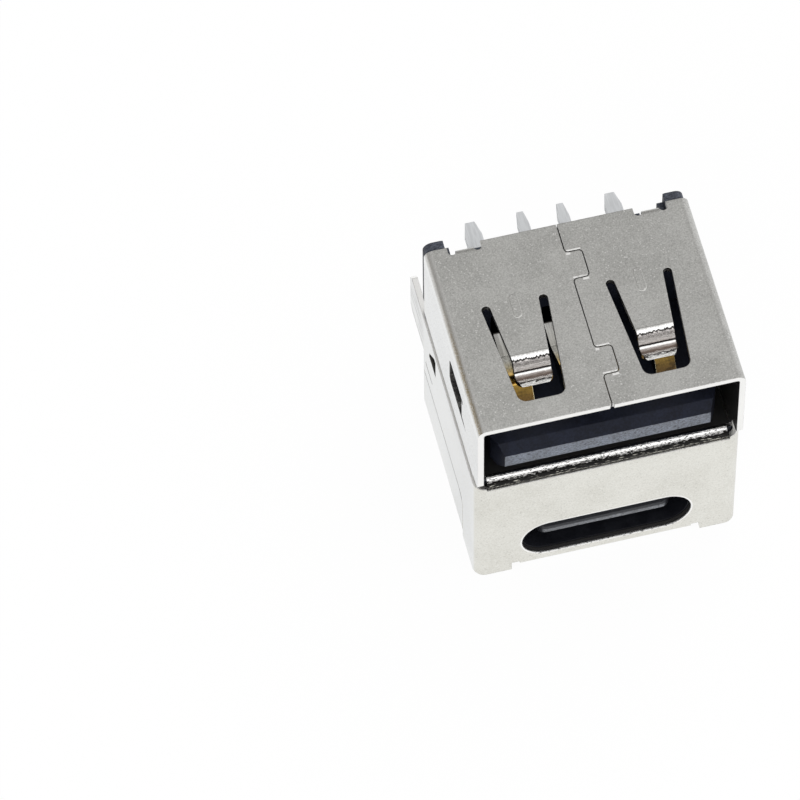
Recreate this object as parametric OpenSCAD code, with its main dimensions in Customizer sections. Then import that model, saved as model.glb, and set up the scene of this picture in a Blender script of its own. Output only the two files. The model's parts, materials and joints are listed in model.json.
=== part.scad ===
// Stacked socket module for a circuit board: a rectangular socket above an oval one, with straight tails.
// Millimetres. X runs across, Y runs from the mouths to the board, and Z is up.
// The origin lies on the board plane, in the middle of the width, at the level of the flat underside.

/* [Folded sheets] */
// Thickness of the folded sheets
sheet = 0.3; // [0.26:0.01:0.34]
// Inside radius of the tube's long folds
tube_fold = 0.15; // [0.1:0.05:0.3]
// Inside radius of the lower cover's folds
cover_fold = 0.3; // [0.2:0.05:0.45]
// How far the lower cover stands out beyond the tube on each side
cover_step = 0.05; // [0.02:0.01:0.1]
// How far the lower front plate is set back from the upper mouth
plate_setback = 0.3; // [0.2:0.05:0.5]
// Height of the upper tube's underside above the flat underside
stack_h = 8.1; // [7.8:0.1:9]

/* [Upper tube] */
// Inner width of the rectangular mouth
mouth_w = 12.5; // [12.3:0.1:13.2]
// Inner height of the rectangular mouth
mouth_h = 5.12; // [5:0.02:5.5]
// Depth of the tube from its mouth to its rear edge
tube_d = 10.5; // [10:0.1:12.5]
// Width of the gap along the seam in the roof
seam_gap = 0.05; // [0.03:0.01:0.08]
// Sideways offset of the seam's keys
key_offset = 0.82; // [0.6:0.02:0.9]
// Length of each seam key
key_length = 1.55; // [1.2:0.05:1.8]
// Distance of the first seam key from the mouth
key_front = 1.75; // [1.2:0.1:2.4]
// Distance between the starts of the two seam keys
key_pitch = 5.55; // [4.5:0.05:5.8]
// Half width of the tube floor's rear edge between its two corner notches
floor_half = 4; // [3.8:0.05:4.2]
// Depth of those notches
floor_notch = 0.6; // [0.5:0.05:0.8]
// Corner radius of the seam keys
key_r = 0.2; // [0.12:0.02:0.28]
// Inside radius of the rolled lower lip
lip_fold = 0.15; // [0.1:0.01:0.3]
// Length of the lower lip below its fold
lip_drop = 0.03; // [0.02:0.01:0.1]
// Height of the side walls' lower front corners above the tube's underside
wall_rise = 0.62; // [0.6:0.02:0.8]
// Radius of those corners
corner_r = 0.35; // [0.2:0.05:0.5]
// Gap between the ends of the lower lip and the side walls
lip_gap = 0.3; // [0.3:0.02:0.5]
// Distance of the lower lip behind the upper mouth
lip_back = 0.4; // [0.35:0.05:0.6]

/* [Spring fingers] */
// Distance of each roof finger from the middle
finger_x = 3.06; // [2.9:0.02:3.3]
// Distance of the finger roots from the mouth
finger_root = 6.6; // [6.3:0.1:7.2]
// Width of a finger at its root
finger_root_w = 2.38; // [2:0.02:2.5]
// Width of a finger at its tip
finger_tip_w = 1.8; // [1.5:0.02:1.9]
// Corner radius at the tip of a finger
finger_tip_r = 0.5; // [0.3:0.02:0.56]
// Width of the slots beside a finger
finger_slot = 0.44; // [0.34:0.02:0.5]
// Distance of the openings' front edge from the mouth
opening_front = 1.2; // [1:0.1:1.6]
// Width of an opening at its front edge
opening_front_w = 2.36; // [2.2:0.02:2.5]
// Corner radius at the front of a roof opening
opening_r = 0.45; // [0.3:0.05:0.6]
// Length of the flat part of a finger
finger_flat = 2.78; // [2.4:0.02:2.9]
// Radius of the fold at the end of the flat part, at mid thickness
finger_fold = 0.42; // [0.36:0.02:0.46]
// Angle of that fold
finger_angle = 60; // [50:1:62]
// Length of the steep part below the fold
finger_steep = 0.3; // [0.2:0.02:0.4]
// Radius of the fold below the steep part, at mid thickness
finger_heel = 0.32; // [0.26:0.02:0.36]
// Length of the level foot
finger_foot = 0.02; // [0.02:0.02:0.2]
// Radius of the curved toe, at mid thickness
finger_toe = 0.8; // [0.7:0.05:1]
// Angle to which the toe rises
toe_angle = 34; // [26:1:36]
// Length of the straight end of the toe
toe_end = 0.06; // [0.04:0.01:0.12]
// Length of the stadium-shaped rib at each root
rib_length = 1.3; // [1:0.05:1.5]
// Width of the rib
rib_w = 0.4; // [0.3:0.05:0.5]
// Distance of the rib's middle in front of the finger root
rib_front = 0.1; // [0:0.05:0.3]
// Height of the rib
rib_h = 0.06; // [0.03:0.01:0.1]
// Distance of the side springs' root from the mouth
side_root = 2.9; // [2.6:0.1:3.2]
// Length of the side spring windows
side_length = 2.6; // [2.5:0.1:2.8]
// Height of the side spring windows
side_h = 1.75; // [1.5:0.05:1.9]
// Length of the slit in front of a side window
side_slit = 0.6; // [0.4:0.05:0.8]
// Height of the side springs
side_finger_h = 1.3; // [1:0.05:1.4]
// Distance of the side windows' upper edge below the roof
side_drop = 1.75; // [1.6:0.05:2]
// Angle at which a side spring leans inwards
side_lean = 24; // [20:1:26]
// Length of the leaning part of a side spring
side_reach = 0.5; // [0.4:0.05:0.6]

/* [Rear tabs] */
// Distance of each rear tab from the middle
tab_x = 4.6; // [4.5:0.02:4.64]
// Width of a rear tab
tab_w = 0.85; // [0.7:0.05:0.9]
// Length of the full width of a tab, from the top of the roof
tab_drop = 1.05; // [0.8:0.05:1.2]
// Length of a tab with its narrow end
tab_length = 1.65; // [1.4:0.05:1.9]
// Width of the narrow end of a tab
tab_end_w = 0.5; // [0.3:0.05:0.6]
// How far a tab's outer face lies in front of the rear edge
tab_back = 0.12; // [0.08:0.01:0.16]
// Fold radius of the tabs, at mid thickness
tab_fold = 0.2; // [0.18:0.01:0.26]
// Radius of the round relief notches beside a tab
notch_r = 0.2; // [0.14:0.02:0.22]

/* [Lower cover] */
// Inner width of the oval mouth
oval_w = 8.34; // [8.2:0.02:8.5]
// Inner height of the oval mouth
oval_h = 2.56; // [2.5:0.02:2.7]
// Wall of the oval can
can_wall = 0.3; // [0.2:0.02:0.32]
// Height of the oval mouth's middle above the underside
oval_z = 2.3; // [2.25:0.05:2.45]
// Margin of the front plate's slot round the oval mouth
slot_margin = 0.08; // [0.04:0.02:0.14]
// Half width of the fold between the front plate and the underside
hem_half_w = 4.3; // [4:0.1:4.5]
// Width of the relief notches at the ends of that fold
hem_notch = 0.45; // [0.3:0.05:0.6]
// Height of the seam between the side flanges and the lower side walls
flange_low = 3.4; // [3.2:0.1:3.8]
// Distance of that seam's front end from the upper mouth
flange_front = 2.75; // [2.6:0.1:3.4]
// Corner radius of that seam
flange_r = 0.7; // [0.5:0.1:1]
// Gap along the seams of the cover
cover_gap = 0.08; // [0.05:0.01:0.12]
// Distance of the catch window's front edge from the tube's rear edge
catch_front = 2.4; // [2.2:0.05:2.7]
// Distance of the catch window's lower edge below the flange's top
catch_drop = 1.75; // [1.6:0.05:2]
// Length of the catch window
catch_l = 1.3; // [1:0.05:1.5]
// Height of the catch window
catch_h = 1.3; // [1:0.05:1.4]
// Height of a solder leg
leg_h = 2.9; // [2.4:0.1:3]
// Reach of the solder legs beyond the board plane
leg_reach = 2; // [1.5:0.1:2.4]
// Chamfer at the ends of the solder legs
leg_chamfer = 0.3; // [0.2:0.05:0.5]

/* [Housing] */
// Reach of the rear columns beyond the tube's rear edge
column_reach = 0.65; // [0.5:0.05:0.9]
// Width of a rear column
column_w = 1.28; // [1.1:0.02:1.34]
// Depth of the block that closes the tube at the rear
block_d = 3.6; // [3:0.1:4]
// Width of the upper tongue
tongue_w = 11.1; // [10.8:0.1:11.3]
// Thickness of the upper tongue
tongue_t = 1.84; // [1.7:0.02:1.9]
// Gap between the tongue and the tube's floor
tongue_gap = 0.51; // [0.45:0.02:0.7]
// Distance of the tongue's tip behind the upper mouth
tongue_back = 0.55; // [0.5:0.05:1]
// Chamfer round the tongue's tip
tongue_chamfer = 0.48; // [0.3:0.02:0.55]
// Width of the web's windows
window_w = 1.3; // [1.1:0.05:1.4]
// Height of the web's windows above the contacts
window_h = 1.8; // [1.5:0.1:2]
// Height of the lower web's bottom edge above the oval mouth's middle
web_above_oval = 1.7; // [1.65:0.05:1.9]
// Height of the divider shield's middle
divider_z = 5.35; // [5.2:0.05:5.6]
// Width of the divider shield
divider_w = 8; // [7.6:0.1:8]
// Clearance between pieces that slide together
fit = 0.03; // [0.02:0.01:0.05]

/* [Upper contacts] */
// Distance of the two inner contacts from the middle
contact_inner_x = 1; // [0.95:0.05:1.1]
// Distance of the two outer contacts from the middle
contact_outer_x = 3.5; // [3.4:0.05:3.6]
// Thickness of the upper contacts
contact_t = 0.3; // [0.25:0.01:0.32]
// Width of the upper contacts on the tongue
contact_w = 1; // [0.8:0.05:1.05]
// Width of their shoulders in the web
shoulder_w = 1.64; // [1.5:0.02:1.7]
// How far the shoulders stand out of the web
shoulder_out = 0.22; // [0.1:0.02:0.3]
// Width of the two outer tails
outer_tail_w = 0.86; // [0.7:0.02:0.9]
// Width of the two inner tails
inner_tail_w = 0.6; // [0.5:0.02:0.7]
// Reach of the upper tails beyond the board plane
upper_reach = 2.45; // [2:0.05:3]
// Length of the tapered tips of the upper tails
tip_length = 0.75; // [0.5:0.05:1]
// Share of its width that a tail keeps at the tip
tip_share = 0.55; // [0.4:0.05:0.8]
// Length of the flat part in front of the block, before the bow
bow_start = 1.1; // [0.9:0.05:1.3]
// Angle at which the bow rises
bow_rise = 30; // [26:1:32]
// Angle at which the bow falls towards the tip
bow_fall = 50; // [46:1:54]
// Length of the flat tip in front of the bow
bow_tip = 0.8; // [0.6:0.05:1]

/* [Lower contacts] */
// Width of the lower tongue
blade_w = 6.69; // [6.5:0.01:6.8]
// Thickness of the lower tongue
blade_t = 0.7; // [0.66:0.01:0.76]
// Distance of the lower tongue's tip behind the front plate
blade_back = 0.45; // [0.4:0.05:0.8]
// Thickness of the mid plate
mid_t = 0.16; // [0.12:0.02:0.2]
// Pitch of the contact positions on the lower tongue
pad_pitch = 0.5; // [0.48:0.01:0.52]
// Width of the contacts on the lower tongue
pad_w = 0.25; // [0.2:0.01:0.28]
// Thickness of the lower contacts
lower_t = 0.15; // [0.12:0.01:0.17]
// Pitch of the four inner tail columns
tail_pitch = 1.1; // [1:0.02:1.14]
// Pitch of the outer tail columns
tail_outer_pitch = 1.27; // [1.2:0.01:1.3]
// Distance between the two tail rows
tail_rows = 1.4; // [1.3:0.05:1.5]
// Width of the supply and ground tails
wide_tail_w = 0.42; // [0.36:0.02:0.46]
// Width of the signal tails
narrow_tail_w = 0.26; // [0.22:0.02:0.34]
// Thickness of the lower tails
tail_t = 0.2; // [0.16:0.02:0.24]
// Reach of the lower tails beyond the board plane
lower_reach = 1.8; // [1.5:0.05:2.4]
// Width of the tail comb
comb_w = 9.5; // [9.4:0.05:9.6]
// Depth of the tail comb's body
comb_d = 2.6; // [2.4:0.1:3]
// Distance of the comb's body in front of the board plane
comb_back = 1; // [0.9:0.05:1.2]
// Depth of each step of the comb
comb_step = 0.4; // [0.3:0.02:0.44]

/* [Hidden] */
$fn = 48;
// Extra length that carries a cut clear of a face
over = 0.1;
// Straight pieces that make up each fold of a bent strip
bend_steps = 8;

// Colours
nickel = [0.70, 0.70, 0.68];
bright_nickel = [0.85, 0.85, 0.82];
dark_plastic = [0.24, 0.26, 0.30];
black_plastic = [0.12, 0.12, 0.14];
gold = [0.80, 0.62, 0.22];
tin = [0.66, 0.67, 0.68];

// Outside radii of the folds
tube_fold_out = tube_fold + sheet;
fold_out = cover_fold + sheet;

// Levels and depths of the upper tube
tube_w = mouth_w + 2 * sheet;
tube_h = mouth_h + 2 * sheet;
y_rear = -column_reach;
y_front = y_rear - tube_d;
z_tube = stack_h;
z_floor = z_tube + sheet;
z_roof = z_floor + mouth_h;
z_top = z_roof + sheet;
notch_depth = tab_back + sheet / 2 + tab_fold;
y_lip = y_front + lip_back;
lip_out = lip_fold + sheet;
z_lip = z_floor - lip_out - lip_drop;
lip_half = mouth_w / 2 - lip_gap;

// Bends of the side springs: radii at mid thickness, and the angle of the tip away from the wall
side_bend_r = 0.8;
side_tip_r = 0.5;
side_flare = 16;

// Levels and depths of the lower cover
cover_w = tube_w + 2 * cover_step;
cover_in = cover_w / 2 - sheet;
y_plate = y_front + plate_setback;
y_plate_in = y_plate + sheet;
z_flange = z_tube - cover_gap;
z_plate = z_lip - cover_gap;
slot_w = oval_w + 2 * slot_margin;
slot_h = oval_h + 2 * slot_margin;
can_w = oval_w + 2 * can_wall;
can_h = oval_h + 2 * can_wall;

// Slit below the catch window
slit_front = 1.7;
slit_drop = 3.5;
slit_l = 1.35;
slit_h = 0.1;

// Levels of the upper tongue and its contacts
z_tongue = z_floor + tongue_gap;
z_tongue_top = z_tongue + tongue_t;
y_tongue = y_front + tongue_back;
y_block = y_rear - block_d;
y_web = y_rear + fit;
z_contact = z_tongue_top - contact_t;
contact_xs = [-contact_outer_x, -contact_inner_x, contact_inner_x, contact_outer_x];
tail_ws = [outer_tail_w, inner_tail_w, inner_tail_w, outer_tail_w];
contact_tip_back = 1.3;
shoulder_d = 1.2;
shoulder_r = 0.12;
// Radii of the contacts' bow, at mid thickness: at its start, and at its crest and its foot
bow_r = 0.6;
crest_r = 0.35;

// Levels and depths of the rear columns and the lower block
column_inset = 0.1;
column_below = 0.3;
column_top = z_top - column_below;
column_out = tube_w / 2 - column_inset;
column_in = column_out - column_w;
column_low_out = cover_in - 2 * fit;
foot_in = comb_w / 2 + 2 * fit;
foot_r = 0.35;
foot_h = 1.35;
slot_end = 0.35;
block_r = 0.3;
z_web_low = oval_z + web_above_oval;
y_comb = -comb_back - comb_d;
block_bottom = sheet + fit;

// Moulding slots and marks of the rear web: step of their heights and depths, and their places across
web_step = 0.3;
web_pit = [1.9, 2.7];
web_middle = [-1.2, 1.2];
web_roof_slot = [2.2, tab_x];
web_low_pit = [2.3, 3.9];
web_mark = [-1.6, 0.4];

// Notch beside each leg and slot in each foot of the columns
leg_notch = 0.5;
leg_notch_z = z_flange - 0.9;
foot_slot_w = 0.75;
foot_slot_h = 0.25;
foot_slot_d = 0.3;

// The lower contacts' columns, from the left to the right seen from the mouths
half_tails = [0.5 * tail_pitch, 1.5 * tail_pitch, 1.5 * tail_pitch + tail_outer_pitch,
    1.5 * tail_pitch + 2 * tail_outer_pitch];
half_pads = [0.5 * pad_pitch, 1.5 * pad_pitch, 2.5 * pad_pitch, 5.5 * pad_pitch];
half_widths = [narrow_tail_w, narrow_tail_w, wide_tail_w, wide_tail_w];
tail_xs = concat([for (k = [3:-1:0]) -half_tails[k]], half_tails);
pad_xs = concat([for (k = [3:-1:0]) -half_pads[k]], half_pads);
low_tail_ws = concat([for (k = [3:-1:0]) half_widths[k]], half_widths);
upper_columns = [0, 1, 2, 3, 4, 6, 7];
lower_columns = [0, 1, 3, 4, 5, 6, 7];
y_blade = y_plate + blade_back;
base_d = 3;
y_base = y_comb - base_d;
mid_back = 0.8;
pad_proud = 0.02;
pad_start = 0.5;
fan_back = 0.2;
y_fan = y_comb + fan_back;
riser_back = 1.1;
y_riser = -comb_back - riser_back;
comb_below = 0.35;
comb_foot = 0.6;
comb_channel = 0.08;
base_shoulder_d = 1;
base_shoulder_t = 1.2;
nose_r = 0.5;
nose_chamfer = 0.1;

// Bent strips: each step of a walk is a straight length, a fold radius and a fold angle
function unit(a) = [cos(a), sin(a)];
function normal(a) = [-sin(a), cos(a)];
function walk(p, a, steps, last, i = 0) =
    i == len(steps) ? [p, p + last * unit(a)] :
    let (
        s = steps[i],
        q = p + s[0] * unit(a),
        side = sign(s[2]) * s[1],
        c = q + side * normal(a),
        arc = [for (k = [0:bend_steps]) c - side * normal(a + s[2] * k / bend_steps)]
    )
    concat([p], [for (k = [0:bend_steps - 1]) arc[k]], walk(arc[bend_steps], a + s[2], steps, last, i + 1));
function path_normal(path, i) =
    let (d = path[min(i + 1, len(path) - 1)] - path[max(i - 1, 0)]) [-d.y, d.x] / norm(d);
module strip(path, t) {
    side_a = [for (i = [0:len(path) - 1]) path[i] + path_normal(path, i) * t / 2];
    side_b = [for (i = [len(path) - 1:-1:0]) path[i] - path_normal(path, i) * t / 2];
    polygon(concat(side_a, side_b));
}

// Extrusions of outlines drawn in the three main planes
module along_x(x0, x1) translate([x0, 0, 0]) rotate([90, 0, 90]) linear_extrude(x1 - x0) children();
module along_y(y0, y1) translate([0, y1, 0]) rotate([90, 0, 0]) linear_extrude(y1 - y0) children();
module along_z(z0, z1) translate([0, 0, z0]) linear_extrude(z1 - z0) children();
module both_sides() {
    children();
    mirror([1, 0, 0]) children();
}

// Flat outlines, centred across and standing on the axis
module rounded(w, h, r) {
    translate([-w / 2 + r, 0]) square([w - 2 * r, h]);
    translate([-w / 2, r]) square([w, h - 2 * r]);
    for (x = [-w / 2 + r, w / 2 - r], y = [r, h - r])
        translate([x, y]) circle(r);
}
module stadium(w, h) {
    translate([-(w - h) / 2, -h / 2]) square([w - h, h]);
    for (x = [-(w - h) / 2, (w - h) / 2])
        translate([x, 0]) circle(h / 2);
}
module span(x0, x1, y0, y1) translate([x0, y0]) square([x1 - x0, y1 - y0]);

// Upper shell: one folded tube with its seam, springs, tabs and lip
module tube_outline() {
    difference() {
        translate([0, z_tube]) rounded(tube_w, tube_h, tube_fold_out);
        translate([0, z_floor]) rounded(mouth_w, mouth_h, tube_fold);
    }
}

module seam_outline() {
    key = [
        [key_offset - 2 * key_r, key_r, 90],
        [key_length - 2 * key_r, key_r, 90],
        [key_offset - 2 * key_r, key_r, -90],
        [key_pitch - key_length - 2 * key_r, key_r, -90]
    ];
    steps = concat([[over + key_front - key_r, key_r, -90]], key, [key[0], key[1], key[2]]);
    strip(walk([0, y_front - over], 90, steps, tube_d), seam_gap);
    translate([0, y_front]) circle(2 * seam_gap);
}

// A tapered roof opening or finger, measured from the mouth along Y
module taper(w0, y0, w1, y1) polygon([[-w0 / 2, y0], [w0 / 2, y0], [w1 / 2, y1], [-w1 / 2, y1]]);

module opening_outline() {
    rear_w = finger_root_w + 2 * finger_slot;
    corner_x = opening_front_w / 2 - opening_r;
    corner_y = opening_front + opening_r;
    translate([0, y_front]) {
        taper(opening_front_w, corner_y, rear_w, finger_root);
        span(-corner_x, corner_x, opening_front, corner_y + over);
        for (x = [-corner_x, corner_x])
            translate([x, corner_y]) circle(opening_r);
        for (x = [-1, 1])
            translate([x * (finger_root_w + finger_slot) / 2, finger_root]) circle(finger_slot / 2);
    }
}

// A roof finger, from the side: flat, down a steep step, along a short foot and up a curved toe
finger_steps = [[finger_flat + over, finger_fold, finger_angle],
    [finger_steep, finger_heel, -finger_angle], [finger_foot, finger_toe, -toe_angle]];
finger_path = walk([y_front + finger_root + over, z_top - sheet / 2], 180, finger_steps, toe_end);
y_finger_tip = finger_path[len(finger_path) - 1].x;

module finger_outline() {
    y_taper = y_finger_tip + 2 * finger_tip_r;
    taper(finger_tip_w, y_taper, finger_root_w, y_front + finger_root);
    translate([0, y_front + finger_root])
        span(-finger_root_w / 2, finger_root_w / 2, 0, over);
    translate([0, y_finger_tip - sheet / 2]) rounded(finger_tip_w, 3 * finger_tip_r, finger_tip_r);
}

module finger() {
    intersection() {
        along_x(-finger_root_w, finger_root_w) strip(finger_path, sheet);
        along_z(z_floor, z_top) finger_outline();
    }
}

// The stiffening rib pressed up at the root of a finger
module rib() {
    along_z(z_top - sheet / 2, z_top + rib_h)
        translate([0, y_front + finger_root - rib_front]) rotate(90) stadium(rib_length, rib_w);
}

// A side spring window, and the spring bent inwards in it from its front edge
module side_window() {
    chamfer = (side_h - side_finger_h) / 2;
    translate([y_front + side_root, z_top - side_drop - side_h])
        polygon([[-side_slit, 0], [0, chamfer], [0, side_h], [side_length - chamfer, side_h],
            [side_length, side_h - chamfer], [side_length, chamfer], [side_length - chamfer, 0]]);
}

module side_spring() {
    z_mid = z_top - side_drop - side_h / 2;
    steps = [[2 * over, side_bend_r, side_lean], [side_reach, side_tip_r, -side_lean - side_flare]];
    along_z(z_mid - side_finger_h / 2, z_mid + side_finger_h / 2)
        strip(walk([tube_w / 2 - sheet / 2, y_front + side_root - over], 90, steps, sheet), sheet);
}

// A rear tab folds down over the housing's web and ends in a narrower tip
function tab_path(drop) =
    let (start = [y_rear - notch_depth - over, z_top - sheet / 2])
    walk(start, 0, [[over, tab_fold, -90]], drop - sheet / 2 - tab_fold);

module tab() {
    along_x(-tab_w / 2, tab_w / 2) strip(tab_path(tab_drop), sheet);
    along_x(-tab_end_w / 2, tab_end_w / 2) strip(tab_path(tab_length), sheet);
}

module tab_relief() {
    half = tab_w / 2 + 2 * notch_r;
    translate([tab_x, y_rear]) {
        span(-half, half, -notch_depth + notch_r, over);
        span(-tab_w / 2, tab_w / 2, -notch_depth, over);
        for (x = [-half + notch_r, half - notch_r])
            translate([x, -notch_depth + notch_r]) circle(notch_r);
    }
}

// The lower lip, rolled down from the tube's floor, and the notch that frees it from the side walls
module lip_profile() {
    steps = [[over, lip_out - sheet / 2, 90]];
    strip(walk([y_lip + lip_out + over, z_floor - sheet / 2], 180, steps, lip_drop), sheet);
}

module lip_notch() {
    z_corner = z_tube + wall_rise;
    span(y_front - over, y_lip + lip_out, z_tube - over, z_corner);
    difference() {
        span(y_front - over, y_front + corner_r, z_corner - over, z_corner + corner_r);
        translate([y_front + corner_r, z_corner + corner_r]) circle(corner_r);
    }
}

module upper_shell() {
    color(nickel)
        union() {
            difference() {
                along_y(y_front, y_rear) tube_outline();
                along_z(z_roof - over, z_top + over) {
                    seam_outline();
                    both_sides() {
                        translate([finger_x, 0]) opening_outline();
                        tab_relief();
                    }
                }
                both_sides()
                    along_x(tube_w / 2 - sheet - over, tube_w / 2 + over) side_window();
                along_x(-tube_w, tube_w) lip_notch();
                both_sides() along_z(z_tube - over, z_floor + over)
                    span(floor_half, tube_w / 2 - tube_fold_out, y_rear - floor_notch, y_rear + over);
            }
            both_sides() {
                translate([finger_x, 0, 0]) {
                    finger();
                    rib();
                }
                side_spring();
                translate([tab_x, 0, 0]) tab();
            }
            along_x(-lip_half, lip_half) lip_profile();
        }
}

// Lower cover: one folded sheet with the front plate, flanges, underside, side walls and legs
module wrap_outline() {
    difference() {
        translate([0, y_plate]) rounded(cover_w, tube_d + fold_out, fold_out);
        translate([0, y_plate_in]) rounded(cover_w - 2 * sheet, tube_d + fold_out, cover_fold);
    }
}

module seam_side(gap) {
    y0 = y_front + flange_front + gap;
    z1 = flange_low - gap;
    span(y0 + flange_r, y_rear + over, -over, z1);
    span(y0, y_rear + over, -over, z1 - flange_r);
    translate([y0 + flange_r, z1 - flange_r]) circle(flange_r);
}

// The pressed catch in each flange: an arrow-shaped window, and a slit below it
module catch_outline() {
    nose = catch_h / 5;
    translate([y_rear - catch_front, z_flange - catch_drop])
        polygon([[0, 0], [catch_l, 0], [catch_l, nose], [nose, catch_h], [0, catch_h]]);
    translate([y_rear - slit_front, z_flange - slit_drop]) square([slit_l, slit_h]);
}

module leg_outline() {
    polygon([[y_rear - over, z_flange - leg_h], [leg_reach - leg_chamfer, z_flange - leg_h],
        [leg_reach, z_flange - leg_h + leg_chamfer], [leg_reach, z_flange - leg_chamfer],
        [leg_reach - leg_chamfer, z_flange], [y_rear - over, z_flange]]);
}

module hem_profile() {
    mid = fold_out - sheet / 2;
    steps = [[over, mid, 90]];
    strip(walk([y_plate + sheet / 2, fold_out + over], -90, steps, fold_out), sheet);
}

module pan_outline() {
    difference() {
        rounded(cover_w, flange_low + fold_out, fold_out);
        translate([0, sheet]) rounded(cover_w - 2 * sheet, flange_low + fold_out, cover_fold);
    }
}

module lower_cover() {
    y_pan = y_plate + 2 * fold_out;
    color(bright_nickel) {
        difference() {
            along_z(0, z_flange) wrap_outline();
            translate([-cover_w, y_rear, -over]) cube([2 * cover_w, tube_d, stack_h]);
            along_x(-cover_w, cover_w) {
                seam_side(0);
                catch_outline();
            }
            translate([0, y_plate + sheet / 2, oval_z])
                along_y(-sheet, sheet) stadium(slot_w, slot_h);
            along_y(y_plate - over, y_plate + fold_out) {
                span(-lip_half - cover_gap, lip_half + cover_gap, z_plate, stack_h);
                span(-hem_half_w - hem_notch, hem_half_w + hem_notch, -over, fold_out);
            }
        }
        along_x(-hem_half_w, hem_half_w) hem_profile();
        along_z(0, sheet) span(-hem_half_w, hem_half_w, y_pan - over, y_pan + fold_out);
        intersection() {
            along_y(y_pan, y_rear) pan_outline();
            union() {
                along_x(-cover_w, cover_w) seam_side(cover_gap);
                along_z(0, sheet) span(-cover_in + cover_fold, cover_in - cover_fold, y_pan, y_rear);
            }
        }
        both_sides() along_x(cover_in, cover_in + sheet) leg_outline();
    }
}

// Housing: one moulding with the upper tongue, two blocks and the rear columns that join them
module tongue() {
    intersection() {
        along_x(-tongue_w / 2, tongue_w / 2)
            polygon([[y_tongue, z_tongue + tongue_chamfer], [y_tongue + tongue_chamfer, z_tongue],
                [y_block + over, z_tongue], [y_block + over, z_tongue_top],
                [y_tongue + tongue_chamfer, z_tongue_top], [y_tongue, z_tongue_top - tongue_chamfer]]);
        along_z(z_tongue, z_tongue_top)
            polygon([[-tongue_w / 2 + tongue_chamfer, y_tongue], [tongue_w / 2 - tongue_chamfer, y_tongue],
                [tongue_w / 2, y_tongue + 2 * tongue_chamfer], [tongue_w / 2, y_block + over],
                [-tongue_w / 2, y_block + over], [-tongue_w / 2, y_tongue + 2 * tongue_chamfer]]);
    }
}

module column() {
    key_in = 0.3;
    mid = (column_in + column_out) / 2;
    foot_mid = (foot_in + column_low_out) / 2;
    along_y(y_web, 0) {
        translate([mid, z_floor]) rounded(column_w, column_top - z_floor, tube_fold_out);
        span(column_in, column_low_out, block_bottom + foot_r, column_top - 2 * tube_fold_out);
        translate([foot_mid, block_bottom]) rounded(column_low_out - foot_in, foot_h, foot_r);
        polygon([[foot_in, block_bottom + foot_h - foot_r], [column_in, block_bottom + foot_h],
            [column_low_out, block_bottom + foot_h], [column_low_out, block_bottom + foot_h - foot_r]]);
    }
    along_y(y_web - key_in, y_web + key_in) {
        span(column_in, mouth_w / 2 - 2 * fit, z_floor + tube_fold, z_roof - tube_fold_out);
        span(column_in, column_low_out, z_web_low, z_tube - fit);
    }
    along_y(y_rear - floor_notch + fit, y_web)
        span(floor_half + slot_end, tube_w / 2 - tube_fold_out - fit, z_tube - over, z_floor + over);
}

module lower_block() {
    half = cover_in - fit;
    y0 = y_plate + fold_out + fit;
    along_y(y0, y_web) {
        span(-half + cover_fold, half - cover_fold, block_bottom, z_tube - fit);
        span(-half, half, block_bottom + cover_fold, z_tube - fit);
        for (x = [-half + cover_fold, half - cover_fold])
            translate([x, block_bottom + cover_fold]) circle(cover_fold);
    }
}

// Moulding slots of the rear web, above and below the sheet edges that pass through it
module web_openings() {
    half = floor_half + slot_end;
    slot_top = divider_z + sheet / 2 + web_step;
    along_y(y_web - 3 * web_step, y_web + over) {
        span(-floor_half, floor_half, z_floor - fit, z_floor + web_step);
        span(-floor_half, floor_half, divider_z, slot_top);
        both_sides() {
            span(floor_half - over, half, z_tube - web_step, z_floor + web_step);
            span(floor_half - over, half, divider_z - 2 * web_step, slot_top);
            span(web_pit[0], web_pit[1], z_floor, z_floor + 2 * web_step);
        }
        span(web_middle[0], web_middle[1], divider_z, divider_z + 4 * web_step);
    }
    along_y(y_web - web_step, y_web + over) {
        both_sides() {
            span(web_roof_slot[0], web_roof_slot[1], z_roof - web_step, z_roof);
            span(web_low_pit[0], web_low_pit[1], divider_z - 4 * web_step, divider_z - web_step);
        }
        span(web_mark[0], web_mark[1], divider_z - 3 * web_step, divider_z);
    }
}

module contact_room(i) {
    x = contact_xs[i];
    along_y(y_block - over, y_web + over) {
        span(x - window_w / 2, x + window_w / 2, z_contact, z_tongue_top + window_h);
        span(x - shoulder_w / 2 - fit, x + shoulder_w / 2 + fit, z_contact, z_tongue_top + fit);
    }
    along_y(y_tongue + contact_tip_back - 2 * fit, y_block)
        span(x - contact_w / 2 - fit, x + contact_w / 2 + fit, z_contact, z_tongue_top + over);
}

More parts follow.
